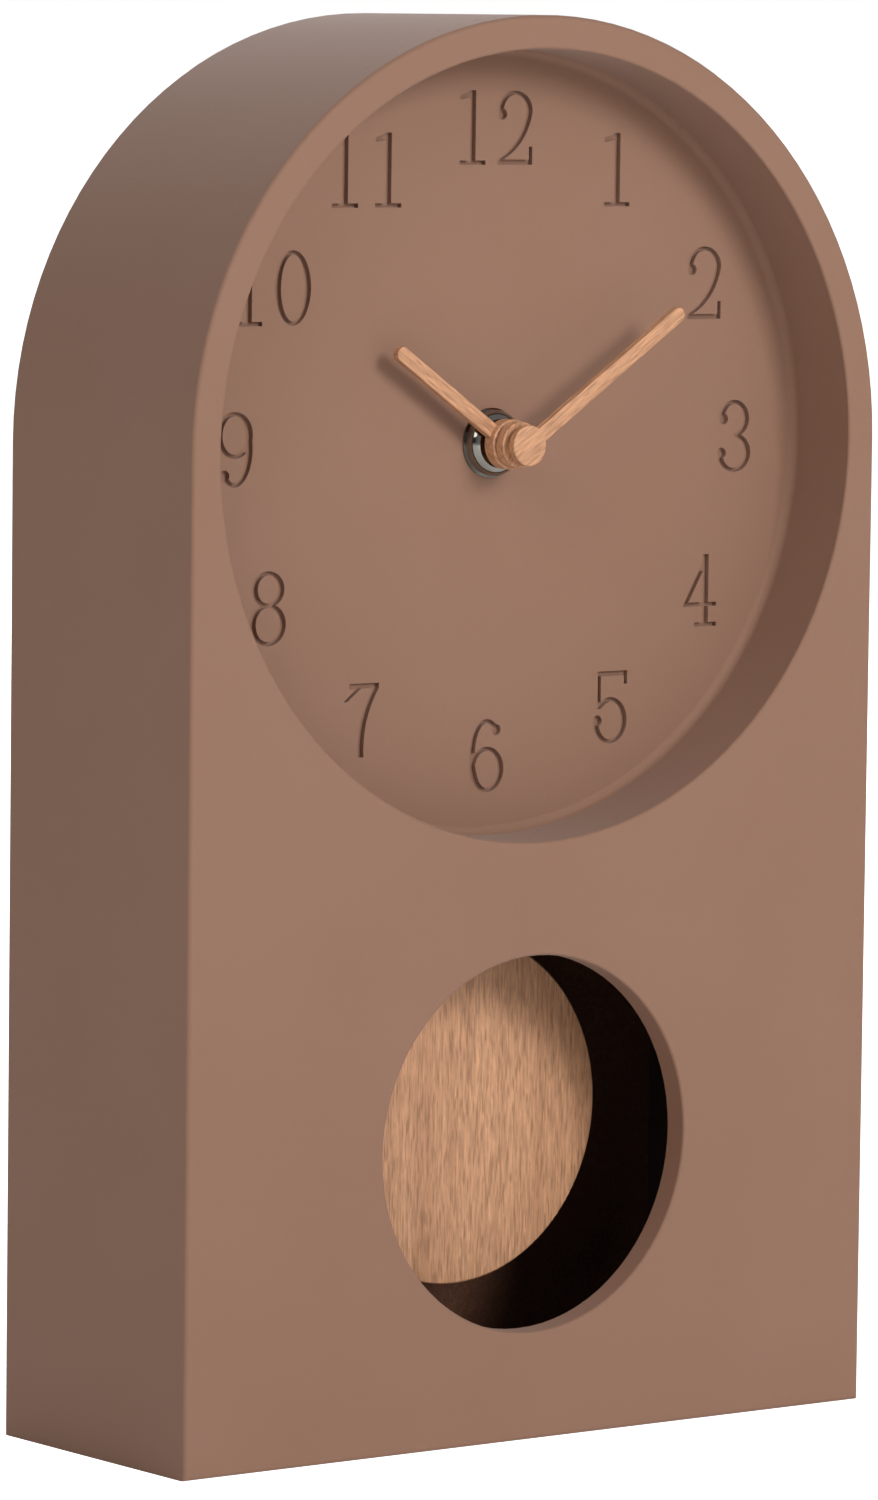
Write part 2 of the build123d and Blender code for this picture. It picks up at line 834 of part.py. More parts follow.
# Going train: every pinion lies in front of its own wheel and meets the wheel one level further forward
train_distance = train_module * (train_pinion_teeth + centre_wheel_teeth) / 2
third_module = 2 * train_distance / (train_pinion_teeth + third_wheel_teeth)
seconds_distance = train_module * (train_pinion_teeth + seconds_wheel_teeth) / 2
rotor_distance = rotor_module * (train_pinion_teeth + intermediate_wheel_teeth) / 2
third_place = polar(train_distance, third_direction)
intermediate_place = polar(seconds_distance, intermediate_direction)
rotor_step = polar(rotor_distance, rotor_direction)
rotor_place = (intermediate_place[0] + rotor_step[0], intermediate_place[1] + rotor_step[1])
pinion_length = wheel_thickness + level_gap + pinion_overhang
hub_rear = inner_rear - hub_end_play
centre_wheel_bore = clutch_seat_diameter / 2 + train_clearance

with BuildPart() as centre_wheel:
    with BuildSketch(axis_plane(level_front(2) + wheel_thickness)):
        add(wheel_face(centre_wheel_teeth, train_module, third_direction))
        Circle(centre_wheel_bore, mode=Mode.SUBTRACT)
    extrude(amount=wheel_thickness)
finish(centre_wheel, "centre_wheel")


def train_wheel(place, level, wheel, pinion):
    """Wheel, pinion and hub in one moulding, bored to turn on a fixed post."""
    with BuildPart() as arbor:
        with BuildSketch(axis_plane(level_front(level) + wheel_thickness, *place)):
            add(wheel)
        extrude(amount=wheel_thickness)
        with BuildSketch(axis_plane(level_front(level), *place)):
            add(pinion)
        extrude(amount=pinion_length)
        with BuildSketch(axis_plane(hub_rear, *place)):
            Circle(train_hub_diameter / 2)
        extrude(amount=hub_rear - level_front(level))
        with BuildSketch(axis_plane(hub_rear, *place)):
            Circle(post_bore_radius)
        extrude(amount=hub_rear - level_front(level) + pinion_length, mode=Mode.SUBTRACT)
    return arbor


third_wheel = train_wheel(
    third_place,
    3,
    wheel_face(third_wheel_teeth, third_module, third_direction + 180),
    pinion_face(train_pinion_teeth, train_module, third_direction + 180),
)
finish(third_wheel, "third_wheel")

seconds_wheel = train_wheel(
    (0, 0),
    4,
    wheel_face(seconds_wheel_teeth, train_module, intermediate_direction),
    pinion_face(train_pinion_teeth, third_module, third_direction),
)
finish(seconds_wheel, "seconds_wheel")

intermediate_wheel = train_wheel(
    intermediate_place,
    5,
    wheel_face(intermediate_wheel_teeth, rotor_module, rotor_direction),
    pinion_face(train_pinion_teeth, train_module, intermediate_direction + 180),
)
finish(intermediate_wheel, "intermediate_wheel")

rotor_front = level_front(6)
with BuildPart() as rotor_pinion:
    with BuildSketch(axis_plane(rotor_front, *rotor_place)):
        add(pinion_face(train_pinion_teeth, rotor_module, rotor_direction + 180))
    extrude(amount=pinion_length)
    with BuildSketch(axis_plane(hub_rear, *rotor_place)):
        Circle(train_hub_diameter / 2)
    extrude(amount=hub_rear - rotor_front)
    with BuildSketch(axis_plane(hub_rear, *rotor_place)):
        Circle(post_bore_radius)
    extrude(amount=hub_rear - rotor_front + pinion_length, mode=Mode.SUBTRACT)
finish(rotor_pinion, "rotor_pinion")

with BuildPart() as rotor_magnet:
    with BuildSketch(axis_plane(rotor_front + rotor_magnet_height, *rotor_place)):
        Circle(rotor_magnet_diameter / 2)
        Circle(train_hub_diameter / 2, mode=Mode.SUBTRACT)
    extrude(amount=rotor_magnet_height)
finish(rotor_magnet, "rotor_magnet")

# Posts: pressed into the rear shell, each as long as its wheel needs
post_rear = inner_rear + post_seat
posts = [
    ((0, 0), shaft_rear - shaft_socket_depth + hub_end_play),
    (third_place, level_front(3) - pinion_length),
    (intermediate_place, level_front(5) - pinion_length),
    (rotor_place, rotor_front - pinion_length),
]
with BuildPart() as train_posts:
    for place, post_front in posts:
        with BuildSketch(axis_plane(post_rear, *place)):
            Circle(post_radius)
        extrude(amount=post_rear - post_front)
finish(train_posts, "train_posts")

# Stepping motor: stator plate round the rotor, its core and the coil on the core
rotor_x, rotor_z = rotor_place
stator_front = rotor_front + (rotor_magnet_height - stator_thickness) / 2
stator_back = stator_front + stator_thickness
stator_top = rotor_z + stator_above
stator_bottom = rotor_z - stator_below
core_x = rotor_x + core_offset
leg_end = core_x + core_width / 2
stator_bosses = [
    (rotor_x - stator_boss_inset, stator_bottom + stator_boss_inset),
    (rotor_x + stator_right - stator_boss_inset, stator_top - stator_boss_top_inset),
]

with BuildPart() as motor_stator:
    with BuildSketch(axis_plane(stator_back)):
        with Locations((rotor_x - stator_left, stator_bottom)):
            Rectangle(stator_left + stator_right, stator_top - stator_bottom, align=(Align.MIN, Align.MIN))
        for leg_bottom in (stator_bottom, stator_top - stator_leg_width):
            with Locations((rotor_x, leg_bottom)):
                Rectangle(leg_end - rotor_x, stator_leg_width, align=(Align.MIN, Align.MIN))
        with Locations(rotor_place):
            Circle(rotor_magnet_diameter / 2 + rotor_air_gap, mode=Mode.SUBTRACT)
    extrude(amount=stator_thickness)
finish(motor_stator, "motor_stator")

with BuildPart() as motor_core:
    with BuildSketch(axis_plane(stator_back + core_thickness)):
        with Locations((core_x, (stator_top + stator_bottom) / 2)):
            Rectangle(core_width, stator_top - stator_bottom)
    extrude(amount=core_thickness)
finish(motor_core, "motor_core")

coil_bottom = stator_bottom + stator_leg_width + coil_end_gap
coil_top = stator_top - stator_leg_width - coil_end_gap
coil_plane = Plane(
    origin=(core_x, stator_back + core_thickness / 2 - case_depth / 2, dial_height + coil_bottom),
    x_dir=(1, 0, 0),
    z_dir=(0, 0, 1),
)
with BuildPart() as motor_coil:
    with BuildSketch(coil_plane):
        Circle(coil_diameter / 2)
        Rectangle(core_width, core_thickness, mode=Mode.SUBTRACT)
    extrude(amount=coil_top - coil_bottom)
finish(motor_coil, "motor_coil")

# Electronics on the inside of the rear shell
board_front = inner_rear - board_thickness
with BuildPart() as circuit_board:
    with BuildSketch(axis_plane(inner_rear, 0, -board_drop)):
        Rectangle(board_width, board_height)
    extrude(amount=board_thickness)
finish(circuit_board, "circuit_board")

with BuildPart() as quartz_crystal:
    crystal_axis = board_front - crystal_diameter / 2 - case_depth / 2
    crystal_plane = Plane(
        origin=(crystal_offset - crystal_length / 2, crystal_axis, dial_height - board_drop),
        x_dir=(0, 1, 0),
        z_dir=(1, 0, 0),
    )
    with BuildSketch(crystal_plane):
        Circle(crystal_diameter / 2)
    extrude(amount=crystal_length)
finish(quartz_crystal, "quartz_crystal")

with BuildPart() as control_chip:
    with BuildSketch(axis_plane(board_front, chip_offset, -board_drop)):
        Rectangle(chip_width, chip_height)
    extrude(amount=chip_thickness)
finish(control_chip, "control_chip")

# Battery and its bent leaf contacts
cell_half = (cell_length + cell_nub_length) / 2
inner_half_width = movement_width / 2 - shell_wall


def cell_plane(x):
    """Plane across the cell, facing its positive end."""
    return Plane(
        origin=(x, cell_depth - case_depth / 2, dial_height + cell_rise), x_dir=(0, 1, 0), z_dir=(1, 0, 0)
    )


with BuildPart() as battery_cell:
    with BuildSketch(cell_plane(-cell_half)):
        Circle(cell_diameter / 2)
    extrude(amount=cell_length)
    with BuildSketch(cell_plane(cell_half - cell_nub_length)):
        Circle(cell_nub_diameter / 2)
    extrude(amount=cell_nub_length)
    fillet(battery_cell.edges().filter_by(GeomType.CIRCLE), cell_edge_radius)
finish(battery_cell, "battery_cell")


def leaf_contact(side):
    """A strip bent back on itself: one leg on the cell's end, the other on the housing wall."""
    near = cell_half
    far = inner_half_width
    top_plane = Plane(
        origin=(0, cell_depth - case_depth / 2, dial_height + cell_rise - contact_width / 2),
        x_dir=(side, 0, 0),
        z_dir=(0, 0, 1),
    )
    reach = contact_width / 2
    with BuildPart() as contact:
        with BuildSketch(top_plane):
            with Locations((near, 0)):
                Rectangle(contact_thickness, contact_width, align=(Align.MIN, Align.CENTER))
            with Locations((far, 0)):
                Rectangle(contact_thickness, contact_width, align=(Align.MAX, Align.CENTER))
            with Locations((near, -reach * side)):
                Rectangle(far - near, contact_thickness, align=(Align.MIN, Align.CENTER))
        extrude(amount=contact_width)
    return contact


positive_contact = leaf_contact(1)
finish(positive_contact, "positive_contact")
negative_contact = leaf_contact(-1)
finish(negative_contact, "negative_contact")


# Movement housing: two shells that meet at the parting plane
def movement_outline(inset):
    height = movement_top + movement_bottom
    chin_height = chin_bottom - movement_bottom + chin_overlap
    corner = movement_corner_radius - inset
    with BuildSketch() as outline:
        with Locations((0, (movement_top - movement_bottom) / 2)):
            RectangleRounded(movement_width - 2 * inset, height - 2 * inset, corner)
        with Locations((0, inset - chin_bottom)):
            RectangleRounded(
                chin_width - 2 * inset, chin_height, corner, align=(Align.CENTER, Align.MIN)
            )
    return outline.sketch


shell_screw_places = [(side * shell_screw_across / 2, z) for side in (-1, 1) for z in shell_screw_heights]
shell_screw_radius = shell_screw_diameter / 2
screw_head_seat = movement_rear - shell_screw_head_height
screw_tip = screw_head_seat - shell_screw_length
pivot_place = (0, -pivot_drop)
pivot_pin_radius = pivot_pin_diameter / 2
slot_half_width = (
    arm_width / 2 + (chin_bottom - pivot_drop) * tan(radians(swing_limit)) + slot_side_gap
)


def pendulum_slot(near, far):
    """Opening in the bottom of the chin that the hanger swings in, between two depths."""
    with BuildSketch(axis_plane(far), mode=Mode.PRIVATE) as slot:
        with Locations((0, -chin_bottom)):
            Rectangle(2 * slot_half_width, 2 * shell_wall)
    extrude(slot.sketch, amount=far - near, mode=Mode.SUBTRACT)


with BuildPart() as movement_front_shell:
    with BuildSketch(axis_plane(parting)):
        add(movement_outline(0))
    extrude(amount=parting - movement_front)
    with BuildSketch(axis_plane(parting)):
        add(movement_outline(shell_wall))
    extrude(amount=parting - inner_front, mode=Mode.SUBTRACT)
    with BuildSketch(axis_plane(parting)):
        with Locations(*shell_screw_places):
            Circle(shell_boss_diameter / 2)
    extrude(amount=parting - inner_front)
    with BuildSketch(axis_plane(parting)):
        with Locations(*shell_screw_places):
            Circle(shell_screw_radius)
    extrude(amount=parting - screw_tip, mode=Mode.SUBTRACT)
    with BuildSketch(axis_plane(hanger_hub_front - hanger_end_play, *pivot_place)):
        Circle(pivot_boss_diameter / 2)
        Circle(pivot_pin_radius, mode=Mode.SUBTRACT)
    extrude(amount=hanger_hub_front - hanger_end_play - inner_front)
    with BuildSketch(axis_plane(inner_front)):
        Circle(bush_stub_diameter / 2 + bush_stub_clearance)
    extrude(amount=shell_wall, mode=Mode.SUBTRACT)
    with BuildSketch(axis_plane(inner_front, *motion_place)):
        Circle(motion_arbor_radius + running_clearance)
    extrude(amount=motion_pivot_depth + train_clearance, mode=Mode.SUBTRACT)
    pendulum_slot(arm_front - slot_depth_gap, parting)
finish(movement_front_shell, "movement_front_shell")

with BuildPart() as movement_rear_shell:
    with BuildSketch(axis_plane(movement_rear)):
        add(movement_outline(0))
    extrude(amount=movement_rear - parting)
    with BuildSketch(axis_plane(inner_rear)):
        add(movement_outline(shell_wall))
    extrude(amount=inner_rear - parting, mode=Mode.SUBTRACT)
    with BuildSketch(axis_plane(inner_rear)):
        with Locations((0, battery_floor)):
            Rectangle(
                2 * (inner_half_width - battery_floor_end_gap),
                battery_floor_thickness,
                align=(Align.CENTER, Align.MAX),
            )
    extrude(amount=inner_rear - inner_front - battery_floor_end_gap)
    with BuildSketch(axis_plane(inner_rear)):
        with Locations(*shell_screw_places):
            Circle(shell_boss_diameter / 2)
    extrude(amount=inner_rear - parting)
    with BuildSketch(axis_plane(inner_rear)):
        with Locations(*stator_bosses):
            Circle(stator_boss_diameter / 2)
    extrude(amount=inner_rear - stator_back)
    with BuildSketch(axis_plane(inner_rear, *pivot_place)):
        Circle(pivot_boss_diameter / 2)
    extrude(amount=inner_rear - hanger_hub_back - hanger_end_play)
    with BuildSketch(axis_plane(inner_rear, *pivot_place)):
        Circle(pivot_pin_radius)
    extrude(amount=inner_rear - hanger_hub_back - hanger_end_play, mode=Mode.SUBTRACT)
    with BuildSketch(axis_plane(movement_rear, 0, cell_rise)):
        Rectangle(battery_door_length, battery_door_height)
    extrude(amount=shell_wall, mode=Mode.SUBTRACT)
    with BuildSketch(axis_plane(movement_rear, *motion_place)):
        Circle(motion_arbor_radius + running_clearance)
    extrude(amount=shell_wall, mode=Mode.SUBTRACT)
    with BuildSketch(axis_plane(post_rear)):
        for place, _ in posts:
            with Locations(place):
                Circle(post_radius)
    extrude(amount=post_seat, mode=Mode.SUBTRACT)
    with Locations(*[rear_plane(movement_rear, x, dial_height + z) for x, z in shell_screw_places]):
        CounterBoreHole(
            shell_screw_radius + shell_screw_clearance,
            shell_screw_head_diameter / 2 + shell_screw_clearance,
            shell_screw_head_height,
        )
    pendulum_slot(parting, arm_back + slot_depth_gap)
finish(movement_rear_shell, "movement_rear_shell")

with BuildPart() as shell_screws:
    with Locations(*[rear_plane(screw_head_seat, x, dial_height + z) for x, z in shell_screw_places]):
        Cylinder(
            shell_screw_head_diameter / 2,
            shell_screw_head_height,
            align=(Align.CENTER, Align.CENTER, Align.MIN),
        )
        Cylinder(shell_screw_radius, shell_screw_length, align=(Align.CENTER, Align.CENTER, Align.MAX))
    with BuildSketch(*[rear_plane(movement_rear, x, dial_height + z) for x, z in shell_screw_places]):
        Rectangle(cross_slot_length, cross_slot_width)
        Rectangle(cross_slot_width, cross_slot_length)
    extrude(amount=-cross_slot_depth, mode=Mode.SUBTRACT)
finish(shell_screws, "shell_screws")


# Hands: a round hub and a bar with a rounded tip, drawn pointing at twelve and turned to the time
def hand_bar(length):
    with BuildSketch() as bar:
        Rectangle(hand_width, length - hand_width / 2, align=(Align.CENTER, Align.MIN))
        with Locations((0, length - hand_width / 2)):
            Circle(hand_width / 2)
    return bar.sketch


with BuildPart() as hour_hand:
    with BuildSketch(axis_plane(hour_hub_back, turn=hour_angle)):
        add(hand_bar(hour_hand_length))
    extrude(amount=hour_bar_thickness)
    bar_front = hour_hand.faces().filter_by(Axis.Y).sort_by(Axis.Y)[0]
    fillet(bar_front.edges(), hand_edge_radius)
    with BuildSketch(axis_plane(hour_hub_back)):
        Circle(hour_hub_diameter / 2)
    extrude(amount=hour_hub_thickness)
    hub_front = hour_hand.faces().filter_by(Axis.Y).sort_by(Axis.Y)[0]
    fillet(hub_front.edges(), hand_edge_radius)
    with BuildSketch(axis_plane(hour_hub_back)):
        Circle(hour_collet_diameter / 2)
    extrude(amount=hour_hub_thickness, mode=Mode.SUBTRACT)
finish(hour_hand, "hour_hand")

with BuildPart() as hour_collet:
    with BuildSketch(axis_plane(hour_hub_back)):
        Circle(hour_collet_diameter / 2)
        Circle(hour_pipe_diameter / 2, mode=Mode.SUBTRACT)
    extrude(amount=hour_hub_thickness)
finish(hour_collet, "hour_collet")

with BuildPart() as minute_hand:
    with BuildSketch(axis_plane(minute_hand_back, turn=minute_angle)):
        add(hand_bar(minute_hand_length))
        Circle(minute_hub_diameter / 2)
    extrude(amount=minute_hand_thickness)
    hand_front = minute_hand.faces().filter_by(Axis.Y).sort_by(Axis.Y)[0]
    fillet(hand_front.edges(), hand_edge_radius)
finish(minute_hand, "minute_hand")

with BuildPart() as minute_collar:
    with BuildSketch(axis_plane(collar_back)):
        Circle(minute_collar_diameter / 2)
    extrude(amount=minute_collar_thickness)
    collar_face = minute_collar.faces().filter_by(Axis.Y).sort_by(Axis.Y)[0]
    fillet(collar_face.edges(), hand_edge_radius)
    with BuildSketch(axis_plane(collar_back)):
        Circle(minute_collet_diameter / 2)
    extrude(amount=minute_collar_thickness, mode=Mode.SUBTRACT)
finish(minute_collar, "minute_collar")

with BuildPart() as minute_collet:
    with BuildSketch(axis_plane(collar_back)):
        Circle(minute_collet_diameter / 2)
        Circle(minute_shaft_radius, mode=Mode.SUBTRACT)
    extrude(amount=collar_back - minute_hand_back)
finish(minute_collet, "minute_collet")

# Pendulum: hanger on its pivot pin, rod hung on the hanger's peg, bob on the rod
with BuildPart() as pivot_pin:
    with BuildSketch(axis_plane(inner_rear, *pivot_place)):
        Circle(pivot_pin_radius)
    extrude(amount=inner_rear - inner_front)
finish(pivot_pin, "pivot_pin")

peg_front = rod_front - peg_end_gap - peg_head_thickness
arm_bottom = peg_drop + arm_reach
with BuildPart() as pendulum_hanger:
    with BuildSketch(axis_plane(arm_back, *pivot_place)):
        Rectangle(arm_width, arm_bottom - arm_width / 2, align=(Align.CENTER, Align.MAX))
        with Locations((0, arm_width / 2 - arm_bottom)):
            Circle(arm_width / 2)
    extrude(amount=arm_thickness)
    with BuildSketch(axis_plane(hanger_hub_back, *pivot_place)):
        Circle(hanger_hub_diameter / 2)
    extrude(amount=hanger_hub_length)
    with BuildSketch(axis_plane(arm_front, 0, -pivot_drop - peg_drop)):
        Circle(peg_diameter / 2)
    extrude(amount=arm_front - peg_front)
    with BuildSketch(axis_plane(peg_front + peg_head_thickness, 0, -pivot_drop - peg_drop)):
        Circle(peg_head_diameter / 2)
    extrude(amount=peg_head_thickness)
    with BuildSketch(axis_plane(hanger_hub_back, *pivot_place)):
        Circle(pivot_pin_radius + running_clearance)
    extrude(amount=hanger_hub_length, mode=Mode.SUBTRACT)
finish(pendulum_hanger, "pendulum_hanger")

drive_place = (0, -pivot_drop - drive_drop)
with BuildPart() as hanger_magnet:
    with BuildSketch(axis_plane(arm_back + drive_magnet_height, *drive_place)):
        Circle(drive_magnet_diameter / 2)
    extrude(amount=drive_magnet_height)
finish(hanger_magnet, "hanger_magnet")

with BuildPart() as pendulum_coil:
    with BuildSketch(axis_plane(inner_rear, *drive_place)):
        Circle(drive_coil_diameter / 2)
        Circle(drive_coil_bore / 2, mode=Mode.SUBTRACT)
    extrude(amount=inner_rear - drive_coil_front)
finish(pendulum_coil, "pendulum_coil")

peg_height = dial_height - pivot_drop - peg_drop
rod_top = peg_height + rod_top_rise
rod_bottom = bob_height - rod_tail
eye_radius = peg_diameter / 2 + rod_eye_clearance
keyhole_radius = peg_head_diameter / 2 + rod_eye_clearance
bob_screw_places = [(0, bob_height - bob_screw_spread), (0, bob_height + bob_screw_spread)]
with BuildPart() as pendulum_rod:
    with BuildSketch(face_plane(rod_back)):
        with Locations((0, rod_bottom)):
            Rectangle(rod_width, rod_top - rod_bottom, align=(Align.CENTER, Align.MIN))
        with Locations((0, peg_height)):
            Circle(eye_radius, mode=Mode.SUBTRACT)
            Rectangle(2 * eye_radius, rod_keyhole_drop, align=(Align.CENTER, Align.MAX), mode=Mode.SUBTRACT)
        with Locations((0, peg_height - rod_keyhole_drop)):
            Circle(keyhole_radius, mode=Mode.SUBTRACT)
        with Locations(*bob_screw_places):
            Circle(bob_screw_diameter / 2, mode=Mode.SUBTRACT)
    extrude(amount=rod_thickness)
finish(pendulum_rod, "pendulum_rod")

with BuildPart() as bob_core:
    with BuildSketch(face_plane(rod_front, 0, bob_height)):
        Circle(bob_diameter / 2)
    extrude(amount=bob_core_thickness)
    core_rear = bob_core.faces().filter_by(Axis.Y).sort_by(Axis.Y)[-1]
    fillet(core_rear.edges(), bob_edge_radius)
    with BuildSketch(face_plane(rod_front)):
        with Locations(*bob_screw_places):
            Circle(bob_screw_diameter / 2)
    extrude(amount=bob_screw_length, mode=Mode.SUBTRACT)
finish(bob_core, "bob_core")

with BuildPart() as bob_veneer:
    with BuildSketch(face_plane(bob_core_front, 0, bob_height)):
        Circle(bob_diameter / 2)
    extrude(amount=veneer_thickness)
    veneer_front = bob_veneer.faces().filter_by(Axis.Y).sort_by(Axis.Y)[0]
    fillet(veneer_front.edges(), bob_edge_radius)
finish(bob_veneer, "bob_veneer")

with BuildPart() as bob_screws:
    with Locations(*[rear_plane(rod_back, x, z) for x, z in bob_screw_places]):
        Cylinder(
            bob_screw_head_diameter / 2,
            bob_screw_head_height,
            align=(Align.CENTER, Align.CENTER, Align.MIN),
        )
        Cylinder(
            bob_screw_diameter / 2,
            rod_thickness + bob_screw_length,
            align=(Align.CENTER, Align.CENTER, Align.MAX),
        )
    with BuildSketch(*[rear_plane(rod_back + bob_screw_head_height, x, z) for x, z in bob_screw_places]):
        Rectangle(cross_slot_length, cross_slot_width)
        Rectangle(cross_slot_width, cross_slot_length)
    extrude(amount=-cross_slot_depth, mode=Mode.SUBTRACT)
finish(bob_screws, "bob_screws")

# Swing of the bob's edge inside the case
bob_reach = dial_height - pivot_drop - bob_height
edge_reach = bob_reach * sin(radians(swing_limit)) + bob_diameter / 2
print("side room at the end of a swing", round(arch_radius - case_wall - edge_reach, 2))
print("hands: minute front", round(minute_hand_front, 2), "behind the front face")
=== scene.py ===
# %% [markdown]
# # A desk pendulum clock
# This lesson dresses a finished CAD model. The solids already have the right shapes and places, so
# Blender loads them as a fixed frame, gives each one the finish of its real material, and replaces
# only the few that need more detail than a solid can hold.

# %% Load the frame
import json
from math import cos, pi, radians, sin

import bpy
from mathutils import Matrix, Vector


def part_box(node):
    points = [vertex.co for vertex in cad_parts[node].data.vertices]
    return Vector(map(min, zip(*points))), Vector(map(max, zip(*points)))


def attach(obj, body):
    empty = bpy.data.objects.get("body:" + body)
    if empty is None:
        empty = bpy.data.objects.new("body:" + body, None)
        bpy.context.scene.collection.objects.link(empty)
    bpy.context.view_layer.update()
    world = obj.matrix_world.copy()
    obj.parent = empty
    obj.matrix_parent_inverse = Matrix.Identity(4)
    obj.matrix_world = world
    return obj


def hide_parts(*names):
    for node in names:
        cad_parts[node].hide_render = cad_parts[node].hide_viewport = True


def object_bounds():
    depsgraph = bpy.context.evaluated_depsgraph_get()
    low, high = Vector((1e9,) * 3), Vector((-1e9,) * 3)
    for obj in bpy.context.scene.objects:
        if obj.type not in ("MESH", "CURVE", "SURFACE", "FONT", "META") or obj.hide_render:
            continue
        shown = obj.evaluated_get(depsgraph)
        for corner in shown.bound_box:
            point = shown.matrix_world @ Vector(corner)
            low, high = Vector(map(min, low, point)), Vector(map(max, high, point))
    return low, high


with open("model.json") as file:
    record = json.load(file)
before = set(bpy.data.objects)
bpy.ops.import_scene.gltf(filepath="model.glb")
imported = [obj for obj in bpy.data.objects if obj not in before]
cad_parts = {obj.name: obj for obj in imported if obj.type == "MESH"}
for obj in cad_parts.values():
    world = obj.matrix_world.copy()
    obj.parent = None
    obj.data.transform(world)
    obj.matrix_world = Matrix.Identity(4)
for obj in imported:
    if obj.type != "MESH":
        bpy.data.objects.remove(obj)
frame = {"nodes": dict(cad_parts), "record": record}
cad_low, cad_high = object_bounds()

nodes = frame["nodes"]
print("CAD nodes:", len(nodes), "box:", [round(v, 4) for v in (*cad_low, *cad_high)])

# %% [markdown]
# ## Camera
# A product photograph is taken from far away with a long lens, so that the upright edges stay
# nearly parallel. The camera is placed by its angle round the clock, its height and its distance,
# because those are the numbers a photographer would give. A roll of under a degree stands for a
# tripod that wasn't quite level.

# %% Camera
camera_azimuth = radians(-37.11)
camera_elevation = radians(5.22)
camera_roll = radians(0.68)
camera_distance = 1.69
camera_target = Vector((-0.0002, 0.0022, 0.1436))
camera_lens_mm = 190.1

away = Vector((
    sin(camera_azimuth) * cos(camera_elevation),
    -cos(camera_azimuth) * cos(camera_elevation),
    sin(camera_elevation),
))
camera_data = bpy.data.cameras.new("camera")
camera_data.lens = camera_lens_mm
camera = bpy.data.objects.new("camera", camera_data)
bpy.context.scene.collection.objects.link(camera)
camera.matrix_world = (
    Matrix.Translation(camera_target + away * camera_distance)
    @ away.to_track_quat("Z", "Y").to_matrix().to_4x4()
    @ Matrix.Rotation(camera_roll, 4, "Z")
)
bpy.context.scene.camera = camera
print("camera at", [round(v, 3) for v in camera.matrix_world.translation])

# %% [markdown]
# ## Tools for materials
# Every finish below is made from a handful of shader nodes. Colours are written as the hex values
# that a colour picker shows and turned to linear light once. The size of a pattern is written in
# millimetres, because that is how it would be measured on the real surface.

# %% Tools for materials
def linear(hex_colour):
    """An sRGB hex colour as the linear colour that shaders work in."""
    channels = [int(hex_colour[i:i + 2], 16) / 255 for i in (1, 3, 5)]
    return (*[c / 12.92 if c <= 0.04045 else ((c + 0.055) / 1.055) ** 2.4 for c in channels], 1.0)


def per_mm(size):
    """Texture scale at which one feature of a pattern is about this many millimetres wide."""
    return 1000 / size


def new_material(name, **values):
    """A material and its Principled shader, with constant values set on the shader's own sockets."""
    material = bpy.data.materials.new(name)
    material.use_nodes = True
    shader = material.node_tree.nodes["Principled BSDF"]
    for socket, value in values.items():
        shader.inputs[socket.replace("_", " ")].default_value = value
    return material, shader


def add_node(owner, kind, values=None, links=None, feeds=None, **settings):
    """Adds a shader node to a material or a world: its settings, input values, sources and targets."""
    made = owner.node_tree.nodes.new("ShaderNode" + kind)
    for name, value in settings.items():
        setattr(made, name, value)
    for socket, value in (values or {}).items():
        made.inputs[socket].default_value = value
    for socket, source in (links or {}).items():
        owner.node_tree.links.new(source, made.inputs[socket])
    for socket, target in (feeds or {}).items():
        owner.node_tree.links.new(made.outputs[socket], target)
    return made


print("mid grey #808080 is", round(linear("#808080")[0], 3), "in linear light")

# %% [markdown]
# ## Light
# The clock stands in a white studio. A large soft box in front, above the dial and a little to the
# right, is the key light: it gives the soft shadows under the hands and leaves the right wall of
# the recess dark. A panel on the left fills that wall and the case's left side, and a panel behind
# puts a pale sheen on the top of the arch. The room gives a soft light from all round, but less
# from the left, as if a dark screen stood there, so that the left side keeps its depth. A backdrop
# is usually lit by lamps of its own until it is plain white, so the world node shows white to the
# camera and gives its lesser light to the clock. Colours are shown as they are, without a film
# curve.

# %% Light
def add_soft_box(name, azimuth, elevation, distance, size, watts):
    """A square area light that looks at the middle of the clock from a direction in degrees."""
    middle = (cad_low + cad_high) / 2
    turn, rise = radians(azimuth), radians(elevation)
    direction = Vector((sin(turn) * cos(rise), -cos(turn) * cos(rise), sin(rise)))
    light = bpy.data.lights.new(name, "AREA")
    light.size = size
    light.energy = watts
    lamp = bpy.data.objects.new(name, light)
    bpy.context.scene.collection.objects.link(lamp)
    facing = direction.to_track_quat("Z", "Y").to_matrix().to_4x4()
    lamp.matrix_world = Matrix.Translation(middle + distance * direction) @ facing
    return lamp


soft_boxes = [
    add_soft_box("key_soft_box", azimuth=7, elevation=23, distance=2.4, size=0.8, watts=34),
    add_soft_box("fill_panel", azimuth=-60, elevation=32, distance=2.5, size=1.2, watts=14),
    add_soft_box("back_panel", azimuth=168, elevation=26, distance=2.2, size=2.2, watts=29),
]

